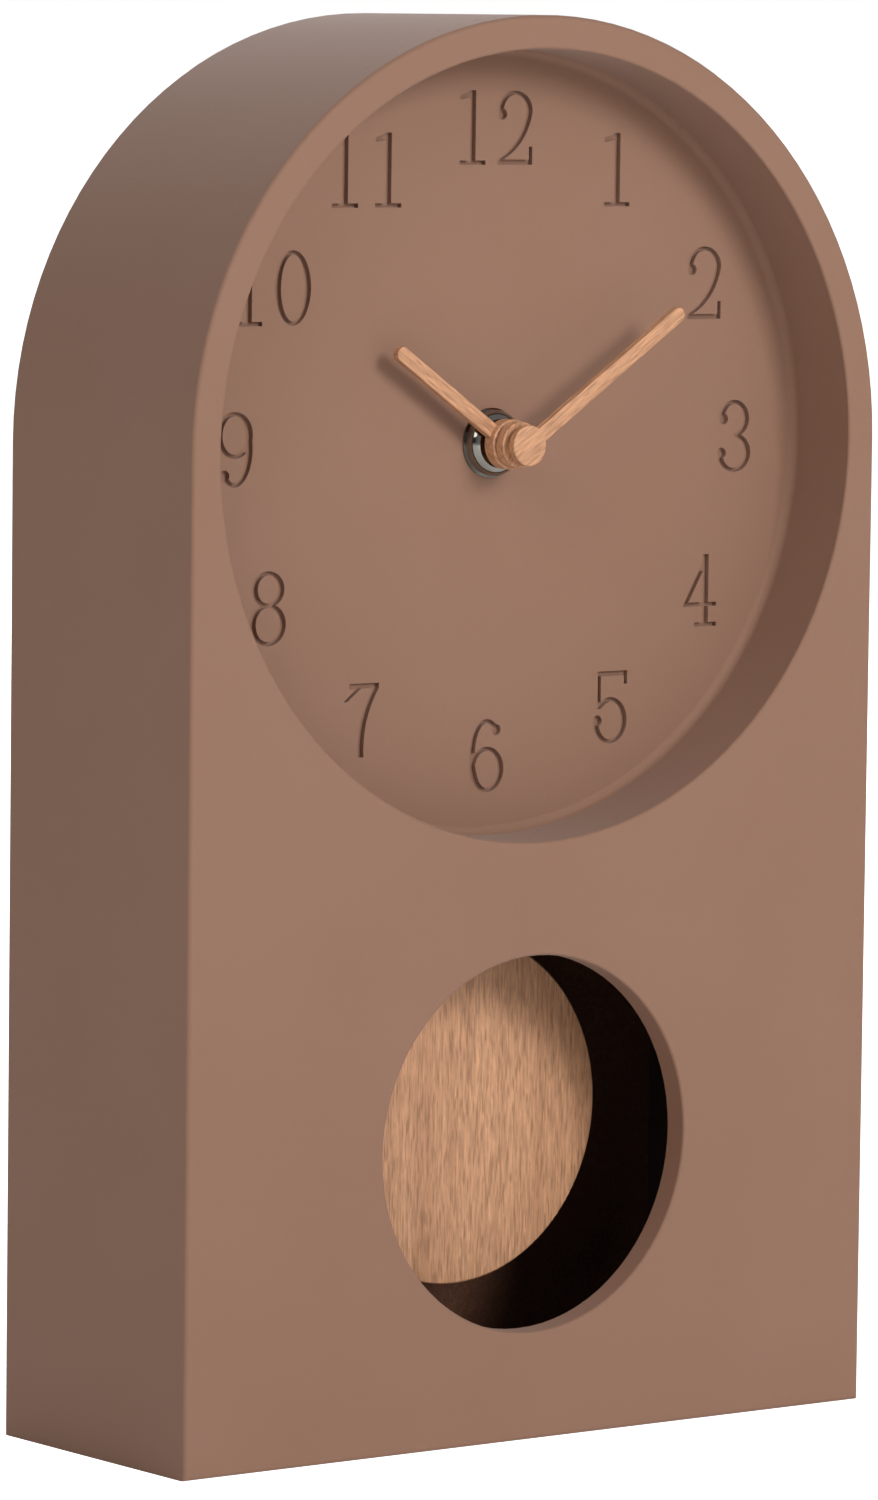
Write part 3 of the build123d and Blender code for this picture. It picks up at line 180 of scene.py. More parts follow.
room_glow = 0.33
screen_side = (-0.97, 0.25, 0.0)
screen_glow = 0.05
screen_edge, screen_middle = 0.25, 0.7
world = bpy.data.worlds.new("white_studio")
bpy.context.scene.world = world
world.use_nodes = True
glow = world.node_tree.nodes["Background"]
glow.inputs["Color"].default_value = (1, 1, 1, 1)
way = add_node(world, "TexCoord").outputs["Generated"]
toward_screen = add_node(world, "VectorMath", {1: screen_side}, {0: way}, operation="DOT_PRODUCT")
light_given = add_node(
    world, "MapRange",
    {"From Min": screen_edge, "From Max": screen_middle, "To Min": room_glow, "To Max": screen_glow},
    {"Value": toward_screen.outputs["Value"]},
)
seen = add_node(world, "LightPath").outputs["Is Camera Ray"]
add_node(
    world, "Mix", {"B": 1.0}, {"Factor": seen, "A": light_given.outputs["Result"]},
    {0: glow.inputs["Strength"]},
)
bpy.context.scene.view_settings.view_transform = "Standard"
print("lights:", [box.name for box in soft_boxes], "and a white room")

# %% [markdown]
# ## Floor
# A sheet of white paper, far larger than the view, so no edge of it shows. It is lit from below
# like a light table, so the camera sees it white up to the foot of the clock, while the clock gets
# only a little of that light.

# %% Floor
floor_half_width = 40.0
floor_mesh = bpy.data.meshes.new("floor")
corners = [(x, y, 0) for x, y in ((-1, -1), (1, -1), (1, 1), (-1, 1))]
floor_mesh.from_pydata([Vector(c) * floor_half_width for c in corners], [], [(0, 1, 2, 3)])
floor = bpy.data.objects.new("floor", floor_mesh)
bpy.context.scene.collection.objects.link(floor)
paper_glow = 0.08
paper, paper_shader = new_material(
    "white_sweep_paper", Roughness=0.9, Base_Color=linear("#ffffff"), Emission_Color=linear("#ffffff"),
)
add_node(
    paper, "MapRange", {"To Min": paper_glow, "To Max": 1.0},
    {"Value": add_node(paper, "LightPath").outputs["Is Camera Ray"]},
    {"Result": paper_shader.inputs["Emission Strength"]},
)
floor_mesh.materials.append(paper)
print("floor:", 2 * floor_half_width, "m wide")

# %% [markdown]
# ## Clay-brown lacquer
# The case is fine board, sprayed with a matte pigmented lacquer. Up close such a film isn't quite flat: it
# dries to a soft orange peel about a millimetre and a half across, with finer spray grain on it, and the tone
# drifts a little over the panel. The matting powder in the film leaves almost no mirror shine, but a pale
# bloom where the surface is seen at a low angle, so the shader is rough, a little less specular than a bare
# varnish, and has a thin sheen layer. Inside the case the colour is a much darker brown. It is the same
# board, so one material covers the outside and the inside, and the place on the clock decides which of the
# two colours a point has.

# %% Clay-brown lacquer
# Sizes of the case that the two colours follow, in metres.
dial_axis_height = 0.210
inner_radius = 0.08005
base_top = 0.00995
panel_back = -0.02755
cup_back = -0.0125
cup_radius = 0.0855

lacquer, lacquer_shader = new_material(
    "sprayed_clay_lacquer", Specular_IOR_Level=0.42, IOR=1.5, Sheen_Weight=0.15, Sheen_Roughness=0.45,
)
place = add_node(lacquer, "TexCoord").outputs["Object"]
drift_mm, peel_mm, grit_mm = 45, 1.5, 0.6
drift = add_node(lacquer, "TexNoise", {"Scale": per_mm(drift_mm), "Detail": 2.0}, {"Vector": place})
peel = add_node(
    lacquer, "TexNoise", {"Scale": per_mm(peel_mm), "Detail": 3.0, "Roughness": 0.6}, {"Vector": place}
)
grit = add_node(lacquer, "TexNoise", {"Scale": per_mm(grit_mm), "Detail": 1.0}, {"Vector": place})

# Which points lie inside the case: within its inner outline, and behind the front panel or the dial.
axes = add_node(lacquer, "SeparateXYZ", links={"Vector": place}).outputs
over_axis = add_node(lacquer, "Math", {1: dial_axis_height}, {0: axes["Z"]}, operation="SUBTRACT")
over_arch = add_node(lacquer, "Math", {1: 0.0}, {0: over_axis.outputs[0]}, operation="MAXIMUM")
arch_place = add_node(lacquer, "CombineXYZ", links={"X": axes["X"], "Y": over_arch.outputs[0]})
dial_place = add_node(lacquer, "CombineXYZ", links={"X": axes["X"], "Y": over_axis.outputs[0]})
arch_reach = add_node(lacquer, "VectorMath", links={0: arch_place.outputs[0]}, operation="LENGTH")
dial_reach = add_node(lacquer, "VectorMath", links={0: dial_place.outputs[0]}, operation="LENGTH")
within = add_node(
    lacquer, "Math", {1: inner_radius}, {0: arch_reach.outputs["Value"]}, operation="LESS_THAN"
)
above_base = add_node(lacquer, "Math", {1: base_top}, {0: axes["Z"]}, operation="GREATER_THAN")
behind_panel = add_node(lacquer, "Math", {1: panel_back}, {0: axes["Y"]}, operation="GREATER_THAN")
round_cup = add_node(
    lacquer, "Math", {1: cup_radius}, {0: dial_reach.outputs["Value"]}, operation="GREATER_THAN"
)
behind_cup = add_node(lacquer, "Math", {1: cup_back}, {0: axes["Y"]}, operation="GREATER_THAN")
beside_cup = add_node(
    lacquer, "Math", links={0: behind_panel.outputs[0], 1: round_cup.outputs[0]}, operation="MULTIPLY"
)
behind = add_node(
    lacquer, "Math", links={0: beside_cup.outputs[0], 1: behind_cup.outputs[0]}, operation="MAXIMUM"
)
room = add_node(lacquer, "Math", links={0: within.outputs[0], 1: above_base.outputs[0]}, operation="MULTIPLY")
inside = add_node(lacquer, "Math", links={0: room.outputs[0], 1: behind.outputs[0]}, operation="MULTIPLY")

coat = add_node(
    lacquer, "Mix", {"A": linear("#87644f"), "B": linear("#8d6957")}, {"Factor": drift.outputs["Fac"]},
    data_type="RGBA",
)
# Points inside the case are given a much darker brown.
add_node(
    lacquer, "Mix", {"B": linear("#3c2820")}, {"Factor": inside.outputs[0], "A": coat.outputs[2]},
    {2: lacquer_shader.inputs["Base Color"]}, data_type="RGBA",
)
add_node(
    lacquer, "MapRange", {"To Min": 0.68, "To Max": 0.84}, {"Value": grit.outputs["Fac"]},
    {"Result": lacquer_shader.inputs["Roughness"]},
)
add_node(
    lacquer, "Bump", {"Strength": 0.12, "Distance": 0.0002}, {"Height": peel.outputs["Fac"]},
    {"Normal": lacquer_shader.inputs["Normal"]},
)
print("made", lacquer.name)

# %% [markdown]
# ## Oiled oak
# The hands, the collar and the face of the bob are oak, sanded and oiled. Oak is ring-porous: broad
# pale and dark streaks where the yearly rings are cut, fine fibres along them, and short dark pores
# like scratches. All three are noise that is stretched along the grain. The grain of each piece
# runs its own way, so the pattern is turned before it is stretched.

# %% Oiled oak
# Widths of the streaks, and how much of a pattern's height is left along the grain.
ring_mm, fibre_mm, pore_mm = 6, 0.55, 0.45
ring_squeeze, fibre_squeeze, pore_squeeze = 0.04, 0.09, 0.12


def oiled_oak(name, grain_turn):
    """Oak with its grain this many degrees clockwise from upright, seen from the front."""
    wood, shader = new_material(name, Specular_IOR_Level=0.5, IOR=1.5)
    place = add_node(wood, "TexCoord").outputs["Object"]
    along = add_node(
        wood, "VectorRotate", {"Angle": -radians(grain_turn)}, {"Vector": place}, rotation_type="Y_AXIS"
    ).outputs["Vector"]
    ring_place, fibre_place, pore_place = [
        add_node(wood, "VectorMath", {1: (1, 1, squeeze)}, {0: along}, operation="MULTIPLY")
        for squeeze in (ring_squeeze, fibre_squeeze, pore_squeeze)
    ]
    rings = add_node(
        wood, "TexNoise", {"Scale": per_mm(ring_mm), "Detail": 2.0, "Distortion": 0.3},
        {"Vector": ring_place.outputs[0]},
    )
    fibres = add_node(
        wood, "TexNoise", {"Scale": per_mm(fibre_mm), "Detail": 3.0, "Roughness": 0.65},
        {"Vector": fibre_place.outputs[0]},
    )
    pores = add_node(
        wood, "TexNoise", {"Scale": per_mm(pore_mm), "Detail": 0.0}, {"Vector": pore_place.outputs[0]}
    )
    streak = add_node(wood, "MapRange", {"From Min": 0.3, "From Max": 0.7}, {"Value": rings.outputs["Fac"]})
    pore = add_node(
        wood, "MapRange", {"From Min": 0.55, "From Max": 0.75, "To Max": 0.5}, {"Value": pores.outputs["Fac"]}
    )
    tone = add_node(
        wood, "Mix", {"A": linear("#bd8a66"), "B": linear("#d09c76")}, {"Factor": streak.outputs["Result"]},
        data_type="RGBA",
    )
    fibre_shade = add_node(
        wood, "MapRange", {"From Min": 0.3, "From Max": 0.7, "To Min": 0.72, "To Max": 1.28},
        {"Value": fibres.outputs["Fac"]},
    )
    fibre_tone = add_node(
        wood, "VectorMath", links={0: tone.outputs[2], 1: fibre_shade.outputs["Result"]}, operation="MULTIPLY"
    )
    add_node(
        wood, "Mix", {"B": linear("#885c3e")}, {"Factor": pore.outputs["Result"], "A": fibre_tone.outputs[0]},
        {2: shader.inputs["Base Color"]}, data_type="RGBA",
    )
    add_node(
        wood, "MapRange", {"To Min": 0.42, "To Max": 0.62}, {"Value": fibres.outputs["Fac"]},
        {"Result": shader.inputs["Roughness"]},
    )
    add_node(
        wood, "Bump", {"Strength": 0.25, "Distance": 0.0001}, {"Height": pore.outputs["Result"]},
        {"Normal": shader.inputs["Normal"]}, invert=True,
    )
    return wood


# The hands point this many degrees clockwise from twelve, and their grain runs along them.
minute_turn = 55.8
hour_turn = 304.65
oak_of = {
    "bob_veneer": oiled_oak("oiled_oak_of_the_bob", grain_turn=0),
    "minute_hand": oiled_oak("oiled_oak_of_the_minute_hand", grain_turn=minute_turn),
    "hour_hand": oiled_oak("oiled_oak_of_the_hour_hand", grain_turn=hour_turn),
    "minute_collar": oiled_oak("oiled_oak_of_the_collar", grain_turn=20),
}
print("made", len(oak_of), "cuts of oak")

# %% [markdown]
# ## Metals
# The ring nut under the hands is polished and nickel-plated: a mirror that shows the dark recess,
# with bright edges. The brass was turned on a lathe, so fine rings run round the axis of the hands,
# and the same rings are on the nut. Screws, posts and contacts are zinc-plated steel, and the
# pendulum's rod is a strip of drawn steel with fine lines along it.

# %% Metals
def turned_metal(name, colour, roughness, mark_mm, mark_strength):
    """A metal turned about the axis of the hands: its tool marks are rings round that axis."""
    metal, shader = new_material(name, Metallic=1.0, Base_Color=linear(colour))
    axes = add_node(
        metal, "SeparateXYZ", links={"Vector": add_node(metal, "TexCoord").outputs["Object"]}
    ).outputs
    rise = add_node(metal, "Math", {1: dial_axis_height}, {0: axes["Z"]}, operation="SUBTRACT")
    flat = add_node(metal, "CombineXYZ", links={"X": axes["X"], "Y": rise.outputs[0]})
    reach = add_node(metal, "VectorMath", links={0: flat.outputs[0]}, operation="LENGTH")
    ring_place = add_node(metal, "CombineXYZ", links={"X": reach.outputs["Value"], "Y": axes["Y"]})
    marks = add_node(
        metal, "TexNoise", {"Scale": per_mm(mark_mm), "Detail": 1.0}, {"Vector": ring_place.outputs[0]}
    )
    add_node(
        metal, "MapRange", {"To Min": 0.7 * roughness, "To Max": 1.3 * roughness},
        {"Value": marks.outputs["Fac"]}, {"Result": shader.inputs["Roughness"]},
    )
    add_node(
        metal, "Bump", {"Strength": mark_strength, "Distance": 0.00005}, {"Height": marks.outputs["Fac"]},
        {"Normal": shader.inputs["Normal"]},
    )
    return metal


# Real tool marks are some 0.05 mm apart. They are drawn coarser, so that they show.
nickel = turned_metal(
    "polished_nickel_plate", "#918e88", roughness=0.1, mark_mm=0.5, mark_strength=0.05
)
brass = turned_metal("turned_brass", "#dcb96f", roughness=0.24, mark_mm=0.3, mark_strength=0.2)

zinc, zinc_shader = new_material("zinc_plated_steel", Metallic=1.0)
place = add_node(zinc, "TexCoord").outputs["Object"]
bloom_mm = 1.2
bloom = add_node(zinc, "TexNoise", {"Scale": per_mm(bloom_mm), "Detail": 3.0}, {"Vector": place})
add_node(
    zinc, "Mix", {"A": linear("#bfc0c0"), "B": linear("#d8d9d5")}, {"Factor": bloom.outputs["Fac"]},
    {2: zinc_shader.inputs["Base Color"]}, data_type="RGBA",
)
add_node(
    zinc, "MapRange", {"To Min": 0.22, "To Max": 0.42}, {"Value": bloom.outputs["Fac"]},
    {"Result": zinc_shader.inputs["Roughness"]},
)

strip, strip_shader = new_material("drawn_steel_strip", Metallic=1.0, Base_Color=linear("#cbcccb"))
place = add_node(strip, "TexCoord").outputs["Object"]
line_mm, line_squeeze = 0.25, 0.01
line_place = add_node(strip, "VectorMath", {1: (1, 1, line_squeeze)}, {0: place}, operation="MULTIPLY")
lines = add_node(
    strip, "TexNoise", {"Scale": per_mm(line_mm), "Detail": 2.0}, {"Vector": line_place.outputs[0]}
)
add_node(
    strip, "MapRange", {"To Min": 0.2, "To Max": 0.45}, {"Value": lines.outputs["Fac"]},
    {"Result": strip_shader.inputs["Roughness"]},
)
add_node(
    strip, "Bump", {"Strength": 0.15, "Distance": 0.00005}, {"Height": lines.outputs["Fac"]},
    {"Normal": strip_shader.inputs["Normal"]},
)
print("made", nickel.name, brass.name, zinc.name, strip.name)

# %% [markdown]
# ## Stained hardboard
# The back of the case and the core of the bob are hardboard, stained dark brown. The pressed side
# is smooth, but a felt of fibres shows in it, in tone more than in relief.

# %% Stained hardboard
hardboard, hardboard_shader = new_material("dark_stained_hardboard", Specular_IOR_Level=0.3)
place = add_node(hardboard, "TexCoord").outputs["Object"]
felt_mm, cloud_mm = 0.9, 30
felt = add_node(
    hardboard, "TexNoise", {"Scale": per_mm(felt_mm), "Detail": 5.0, "Roughness": 0.7, "Distortion": 1.2},
    {"Vector": place},
)
cloud = add_node(hardboard, "TexNoise", {"Scale": per_mm(cloud_mm), "Detail": 2.0}, {"Vector": place})
haze = add_node(hardboard, "MapRange", {"To Min": 0.85, "To Max": 1.15}, {"Value": cloud.outputs["Fac"]})
shade = add_node(
    hardboard, "Math", links={0: felt.outputs["Fac"], 1: haze.outputs["Result"]}, operation="MULTIPLY"
)
fleck = add_node(hardboard, "MapRange", {"From Min": 0.3, "From Max": 0.7}, {"Value": shade.outputs[0]})
add_node(
    hardboard, "Mix", {"A": linear("#4e3325"), "B": linear("#7c513b")}, {"Factor": fleck.outputs["Result"]},
    {2: hardboard_shader.inputs["Base Color"]}, data_type="RGBA",
)
add_node(
    hardboard, "MapRange", {"To Min": 0.6, "To Max": 0.85}, {"Value": felt.outputs["Fac"]},
    {"Result": hardboard_shader.inputs["Roughness"]},
)
add_node(
    hardboard, "Bump", {"Strength": 0.2, "Distance": 0.0001}, {"Height": felt.outputs["Fac"]},
    {"Normal": hardboard_shader.inputs["Normal"]},
)
print("made", hardboard.name)

# %% [markdown]
# ## Plastics and rubber
# The movement's housing is moulded black ABS. Its mould was spark-eroded, which leaves a fine even
# grain. The wheels are natural acetal, a milky plastic that lets a little light in. The chip, the
# magnets and the rubber washer each get the grain that their making leaves. One grain is enough
# for all of them, so a single helper makes them with different sizes and colours.

# %% Plastics and rubber
def grained(name, dark, pale, grain_mm, gloss, relief, **values):
    """A material with one even grain in its tone, its relief and its gloss, a pair of roughnesses."""
    material, shader = new_material(name, **values)
    grain = add_node(
        material, "TexNoise", {"Scale": per_mm(grain_mm), "Detail": 3.0},
        {"Vector": add_node(material, "TexCoord").outputs["Object"]},
    )
    add_node(
        material, "Mix", {"A": linear(dark), "B": linear(pale)}, {"Factor": grain.outputs["Fac"]},
        {2: shader.inputs["Base Color"]}, data_type="RGBA",
    )
    add_node(
        material, "MapRange", {"To Min": gloss[0], "To Max": gloss[1]}, {"Value": grain.outputs["Fac"]},
        {"Result": shader.inputs["Roughness"]},
    )
    add_node(
        material, "Bump", {"Strength": relief, "Distance": 0.0001}, {"Height": grain.outputs["Fac"]},
        {"Normal": shader.inputs["Normal"]},
    )
    return material


# Spark grain is some 0.1 mm across on the real mould. It is drawn coarser, so that it shows.
black_abs = grained(
    "moulded_black_abs", "#1d1d1e", "#303033", grain_mm=0.5, gloss=(0.42, 0.6), relief=0.35, IOR=1.53
)
acetal = grained(
    "moulded_natural_acetal", "#d9d4c6", "#ece8dc", grain_mm=4.0, gloss=(0.3, 0.42), relief=0.05, IOR=1.48,
    Subsurface_Weight=0.15, Subsurface_Scale=0.002,
)
rubber = grained(
    "moulded_black_rubber", "#171717", "#2a2a2a", grain_mm=0.7, gloss=(0.7, 0.9), relief=0.4, IOR=1.52
)
chip_epoxy = grained(
    "moulded_black_epoxy", "#18181a", "#2c2c2f", grain_mm=0.4, gloss=(0.45, 0.65), relief=0.25, IOR=1.55
)
ferrite = grained(
    "sintered_ferrite", "#232325", "#38383b", grain_mm=0.5, gloss=(0.5, 0.7), relief=0.3, IOR=2.0
)
print("made", [m.name for m in (black_abs, acetal, rubber, chip_epoxy, ferrite)])

# %% [markdown]
# ## Circuit board
# A glass-epoxy board under a green solder mask. The copper tracks below the mask show as paler
# lines, one and a half millimetres apart. The mortar lines of a brick pattern stand for them,
# because they run along and step across as tracks do.

# %% Circuit board
board, board_shader = new_material("solder_masked_board", Roughness=0.32, IOR=1.55)
place = add_node(board, "TexCoord").outputs["Object"]
board_turn = add_node(board, "Mapping", {"Rotation": (radians(90), 0, 0)}, {"Vector": place})
track_width, track_length, track_pitch = 0.0002, 0.0065, 0.0015
add_node(
    board, "TexBrick",
    {"Color1": linear("#14492b"), "Color2": linear("#1a5633"), "Mortar": linear("#3c8a55"), "Scale": 1.0,
     "Mortar Size": track_width, "Brick Width": track_length, "Row Height": track_pitch},
    {"Vector": board_turn.outputs[0]}, {"Color": board_shader.inputs["Base Color"]},
)
weave_mm = 0.4
weave = add_node(board, "TexNoise", {"Scale": per_mm(weave_mm)}, {"Vector": place})
add_node(
    board, "Bump", {"Strength": 0.1, "Distance": 0.00005}, {"Height": weave.outputs["Fac"]},
    {"Normal": board_shader.inputs["Normal"]},
)
print("made", board.name)

# %% [markdown]
# ## Dressing the solids
# Each CAD node says which material slot it belongs to. The finishes above go into those slots, and
# the oak pieces and the pendulum's rod get a finish of their own. The battery and the two coils
# are left as they are, because meshes replace them further on.

# %% Dressing the solids
finish_of = {
    "clay_lacquer": lacquer, "stained_board": hardboard, "black_abs": black_abs, "acetal": acetal,
    "chrome": nickel, "brass": brass, "steel": zinc, "rubber": rubber, "circuit_green": board,
    "chip_epoxy": chip_epoxy, "magnet": ferrite,
}
own_finish = {**oak_of, "pendulum_rod": strip}
dressed = {}
for subpart in frame["record"]["subparts"]:
    name = subpart["node"]
    finish = own_finish.get(name) or finish_of.get(subpart["material_slot"])
    if finish:
        nodes[name].material_slots[0].material = finish
        dressed[name] = finish.name
print("dressed", len(dressed), "nodes in", len(set(dressed.values())), "finishes")

# %% [markdown]
# ## Turned pieces
# The battery and the coils are round things with fine steps, which a lathe would cut from a
# profile. The helper below does the same: it turns a list of distances from the axis and places
# along it into a mesh.

# %% Turned pieces
def turned(name, profile, origin, axis, body, material, steps=72):
    """A mesh turned from (radius, place along the axis) pairs in metres, riding on a CAD body."""
    turn = Vector(axis).to_track_quat("Z", "X").to_matrix()
    points, faces = [], []
    for radius, along in profile:
        for step in range(steps):
            angle = 2 * pi * step / steps
            points.append(Vector(origin) + turn @ Vector((radius * cos(angle), radius * sin(angle), along)))
    for row in range(len(profile) - 1):
        for step in range(steps):
            after = (step + 1) % steps
            low, high = row * steps, (row + 1) * steps
            faces.append((low + step, low + after, high + after, high + step))
    mesh = bpy.data.meshes.new(name)
    mesh.from_pydata(points, [], faces)
    mesh.validate()
    mesh.shade_smooth()
    mesh.set_sharp_from_angle(angle=radians(35))
    mesh.materials.append(material)
    piece = bpy.data.objects.new(name, mesh)
    bpy.context.scene.collection.objects.link(piece)
    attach(piece, body)
    return piece


mm = 0.001
print("a millimetre is", mm, "in Blender's metres")

# %% [markdown]
# ## Battery
# An AA cell is a steel can in a printed shrink sleeve. The sleeve is drawn in over both ends, the
# positive end has a pressed cap with a nub, and a groove runs round it. The sleeve's print is
# plain: a charcoal body, a copper-coloured end and two thin lines.

# %% Battery
cell_low, cell_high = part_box("battery_cell")
cell_middle = (cell_low + cell_high) / 2
cell_radius = (cell_high.z - cell_low.z) / 2
cell_end = (cell_high.x - cell_low.x) / 2
nub_height = 1.3 * mm
can_end = cell_end - nub_height

sleeve, sleeve_shader = new_material("printed_shrink_sleeve", Roughness=0.28, IOR=1.53)
place = add_node(sleeve, "TexCoord").outputs["Object"]
across = add_node(sleeve, "SeparateXYZ", links={"Vector": place}).outputs["X"]
print_place = add_node(
    sleeve, "MapRange", {"From Min": -cell_end, "From Max": cell_end}, {"Value": across}
)
bands = add_node(
    sleeve, "ValToRGB", links={"Fac": print_place.outputs["Result"]},
    feeds={"Color": sleeve_shader.inputs["Base Color"]},
)
bands.color_ramp.interpolation = "CONSTANT"
charcoal, pale_line, copper_end = "#3a3b3e", "#c9c4b8", "#a85c2c"
for edge, colour in ((0.62, pale_line), (0.64, charcoal), (0.66, pale_line), (0.68, copper_end)):
    bands.color_ramp.elements.new(edge).color = linear(colour)
bands.color_ramp.elements[0].color = linear(charcoal)
bands.color_ramp.elements[-1].color = linear(copper_end)
ripple_mm = 6
ripple = add_node(sleeve, "TexNoise", {"Scale": per_mm(ripple_mm)}, {"Vector": place})
add_node(
    sleeve, "Bump", {"Strength": 0.1, "Distance": 0.0002}, {"Height": ripple.outputs["Fac"]},
    {"Normal": sleeve_shader.inputs["Normal"]},
)

sleeve_profile = [
    (cell_radius - 1.3 * mm, -cell_end + 0.12 * mm),
    (cell_radius - 0.9 * mm, -cell_end),
    (cell_radius - 0.35 * mm, -cell_end + 0.1 * mm),
    (cell_radius - 0.06 * mm, -cell_end + 0.45 * mm),
    (cell_radius, -cell_end + 1.0 * mm),
    (cell_radius, can_end - 2.2 * mm),
    (cell_radius - 0.18 * mm, can_end - 1.9 * mm),
    (cell_radius - 0.18 * mm, can_end - 1.5 * mm),
    (cell_radius - 0.02 * mm, can_end - 1.2 * mm),
    (cell_radius - 0.06 * mm, can_end - 0.45 * mm),
    (cell_radius - 0.4 * mm, can_end - 0.08 * mm),
    (cell_radius - 0.9 * mm, can_end),
    (cell_radius - 1.4 * mm, can_end - 0.12 * mm),
]
battery_sleeve = turned(
    "battery_sleeve", sleeve_profile, cell_middle, (1, 0, 0), "case", sleeve
)
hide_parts("battery_cell")

negative_profile = [
    (0.0, -cell_end + 0.25 * mm),
    (4.2 * mm, -cell_end + 0.25 * mm),
    (4.6 * mm, -cell_end + 0.05 * mm),
    (cell_radius - 1.3 * mm, -cell_end + 0.2 * mm),
]
positive_profile = [
    (cell_radius - 1.4 * mm, can_end - 0.2 * mm),
    (4.9 * mm, can_end - 0.35 * mm),
    (4.6 * mm, can_end - 0.05 * mm),
    (3.1 * mm, can_end - 0.05 * mm),
    (2.75 * mm, can_end + 0.15 * mm),
    (2.7 * mm, cell_end - 0.4 * mm),
    (2.4 * mm, cell_end - 0.08 * mm),
    (2.0 * mm, cell_end),
    (0.0, cell_end),
]
for name, profile in (("battery_base", negative_profile), ("battery_cap", positive_profile)):
    turned(name, profile, cell_middle, (1, 0, 0), "case", zinc)
print("battery:", round(2 * cell_radius * 1000, 1), "mm thick,", round(2 * cell_end * 1000, 1), "mm long")

# %% [markdown]
# ## Wound coils
# Both coils are enamelled copper wire on a moulded bobbin. Real turns are a tenth of a millimetre
# apart, too fine to show, so the winding has about four ridges to the millimetre. The bobbin's two
# flanges are natural acetal.

# %% Wound coils
copper, copper_shader = new_material(
    "enamelled_copper_wire", Metallic=1.0, Coat_Weight=0.5, Coat_Roughness=0.15
)
place = add_node(copper, "TexCoord").outputs["Object"]
enamel_mm = 1.5
enamel = add_node(copper, "TexNoise", {"Scale": per_mm(enamel_mm), "Detail": 2.0}, {"Vector": place})
add_node(
    copper, "Mix", {"A": linear("#ad653c"), "B": linear("#cc865a")}, {"Factor": enamel.outputs["Fac"]},
    {2: copper_shader.inputs["Base Color"]}, data_type="RGBA",
)
add_node(
    copper, "MapRange", {"To Min": 0.22, "To Max": 0.4}, {"Value": enamel.outputs["Fac"]},
    {"Result": copper_shader.inputs["Roughness"]},
)

winding_inset = 0.3 * mm
bore_gap = 0.2 * mm
flange_rounding = 0.15 * mm


def wound_coil(node, axis, bore_radius, flange, wire):
    """A bobbin with two flanges and a ridged winding, in the place of a CAD coil."""
    low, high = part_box(node)
    middle = (low + high) / 2
    half = abs((high - low).dot(Vector(axis))) / 2
    radius = max(high.x - low.x, high.z - low.z if axis[1] else high.y - low.y) / 2
    turns = int(2 * (half - flange) / wire)
    pitch = 2 * (half - flange) / turns
    crest = radius - winding_inset
    valley, shoulder = crest - 0.35 * wire, crest - 0.08 * wire
    winding = [(bore_radius + bore_gap, -half + flange)]
    for turn in range(turns):
        start = -half + flange + turn * pitch
        winding += [
            (valley, start), (shoulder, start + 0.25 * pitch), (crest, start + 0.5 * pitch),
            (shoulder, start + 0.75 * pitch),
        ]
    winding += [(valley, half - flange), (bore_radius + bore_gap, half - flange)]
    coil = turned(node + "_winding", winding, middle, axis, "case", copper, 48)
    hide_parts(node)
    for side, end in (("front", -half), ("back", half - flange)):
        far = end + flange
        bobbin = [
            (bore_radius, end), (radius - flange_rounding, end), (radius, end + flange_rounding),
            (radius, far - flange_rounding), (radius - flange_rounding, far), (bore_radius, far),
            (bore_radius, end),
        ]
        turned(node + "_flange_" + side, bobbin, middle, axis, "case", acetal, 48)
    return turns


ridge_pitch = 0.27 * mm
motor_turns = wound_coil(
    "motor_coil", (0, 0, 1), bore_radius=1.55 * mm, flange=0.6 * mm, wire=ridge_pitch
)
drive_turns = wound_coil(
    "pendulum_coil", (0, 1, 0), bore_radius=2.5 * mm, flange=0.5 * mm, wire=ridge_pitch
)
print("ridges on the motor coil:", motor_turns, "on the drive coil:", drive_turns)

# %% [markdown]
# ## Moulded marks
# A movement has its battery's poles and the way to turn the setting knob moulded into its back.
# They stand three tenths of a millimetre proud, with edges that slope as a mould needs.

# %% Moulded marks
mark_height = 0.3 * mm
mark_slope = 0.12 * mm
mark_root = 0.02 * mm
shell_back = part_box("movement_rear_shell")[1].y


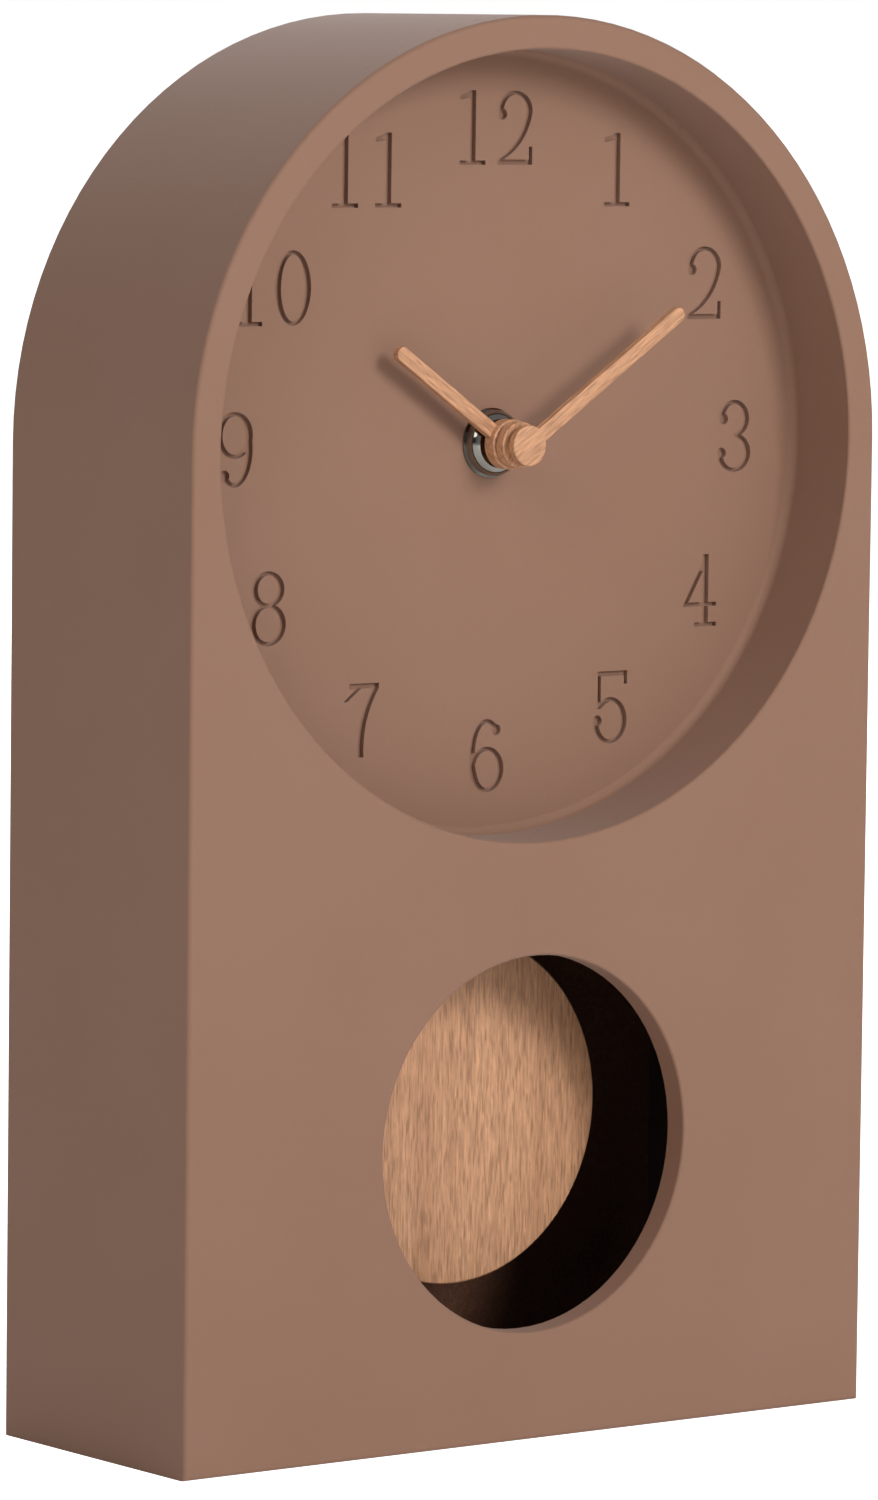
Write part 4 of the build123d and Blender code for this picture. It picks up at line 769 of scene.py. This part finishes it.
def moulded_mark(name, outlines):
    """Raised marks on the back of the movement from outlines in metres, as (x, z) pairs."""
    points, faces = [], []
    for outline in outlines:
        middle = sum((Vector(p) for p in outline), Vector((0, 0))) / len(outline)
        first, count = len(points), len(outline)
        for x, z in outline:
            points.append((x, shell_back - mark_root, z))
        for x, z in outline:
            inward = (middle - Vector((x, z))).normalized() * mark_slope
            points.append((x + inward.x, shell_back + mark_height, z + inward.y))
        faces.append(tuple(first + count + k for k in range(count)))
        for k in range(count):
            after = (k + 1) % count
            faces.append((first + k, first + after, first + count + after, first + count + k))
    mesh = bpy.data.meshes.new(name)
    mesh.from_pydata(points, [], faces)
    mesh.validate()
    mesh.materials.append(black_abs)
    piece = bpy.data.objects.new(name, mesh)
    bpy.context.scene.collection.objects.link(piece)
    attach(piece, "case")
    return piece


def bar(x, z, width, height):
    """The outline of an upright bar about its middle."""
    left, right, low, high = x - width / 2, x + width / 2, z - height / 2, z + height / 2
    return [(left, low), (right, low), (right, high), (left, high)]


pole_height = 219.0 * mm
pole_side = 18.0 * mm
sign_length, sign_width, sign_arm = 4.4 * mm, 1.1 * mm, 1.6 * mm
arm_offset = (sign_width + sign_arm) / 2
moulded_mark("plus_mark", [
    bar(pole_side, pole_height, sign_length, sign_width),
    bar(pole_side, pole_height + arm_offset, sign_width, sign_arm),
    bar(pole_side, pole_height - arm_offset, sign_width, sign_arm),
])
moulded_mark("minus_mark", [bar(-pole_side, pole_height, sign_length, sign_width)])

knob_low, knob_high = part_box("setting_knob")
knob_middle = (knob_low + knob_high) / 2
arrow_radius = 8.6 * mm
arrow_width = 0.9 * mm
arrow_steps = 10
arrow_from, arrow_to = 205, 335
head_turn = 17
head_half = 1.4 * mm


def round_knob(corners):
    """Turns (radius, angle) pairs about the setting knob into (x, z) pairs."""
    return [(knob_middle.x + r * cos(a), knob_middle.z + r * sin(a)) for r, a in corners]


arrow_bits = []
inner, outer = arrow_radius - arrow_width / 2, arrow_radius + arrow_width / 2
for step in range(arrow_steps):
    first, last = [
        radians(arrow_from + (arrow_to - arrow_from) * (step + k) / arrow_steps) for k in (0, 1)
    ]
    arrow_bits.append(round_knob([(inner, first), (outer, first), (outer, last), (inner, last)]))
for angle, sense in ((arrow_from, -1), (arrow_to, 1)):
    foot, tip = radians(angle), radians(angle + sense * head_turn)
    arrow_bits.append(round_knob(
        [(arrow_radius - head_half, foot), (arrow_radius + head_half, foot), (arrow_radius, tip)]
    ))
moulded_mark("setting_arrow", arrow_bits)
print("marks stand", round(mark_height * 1000, 2), "mm proud at", round(shell_back, 4))
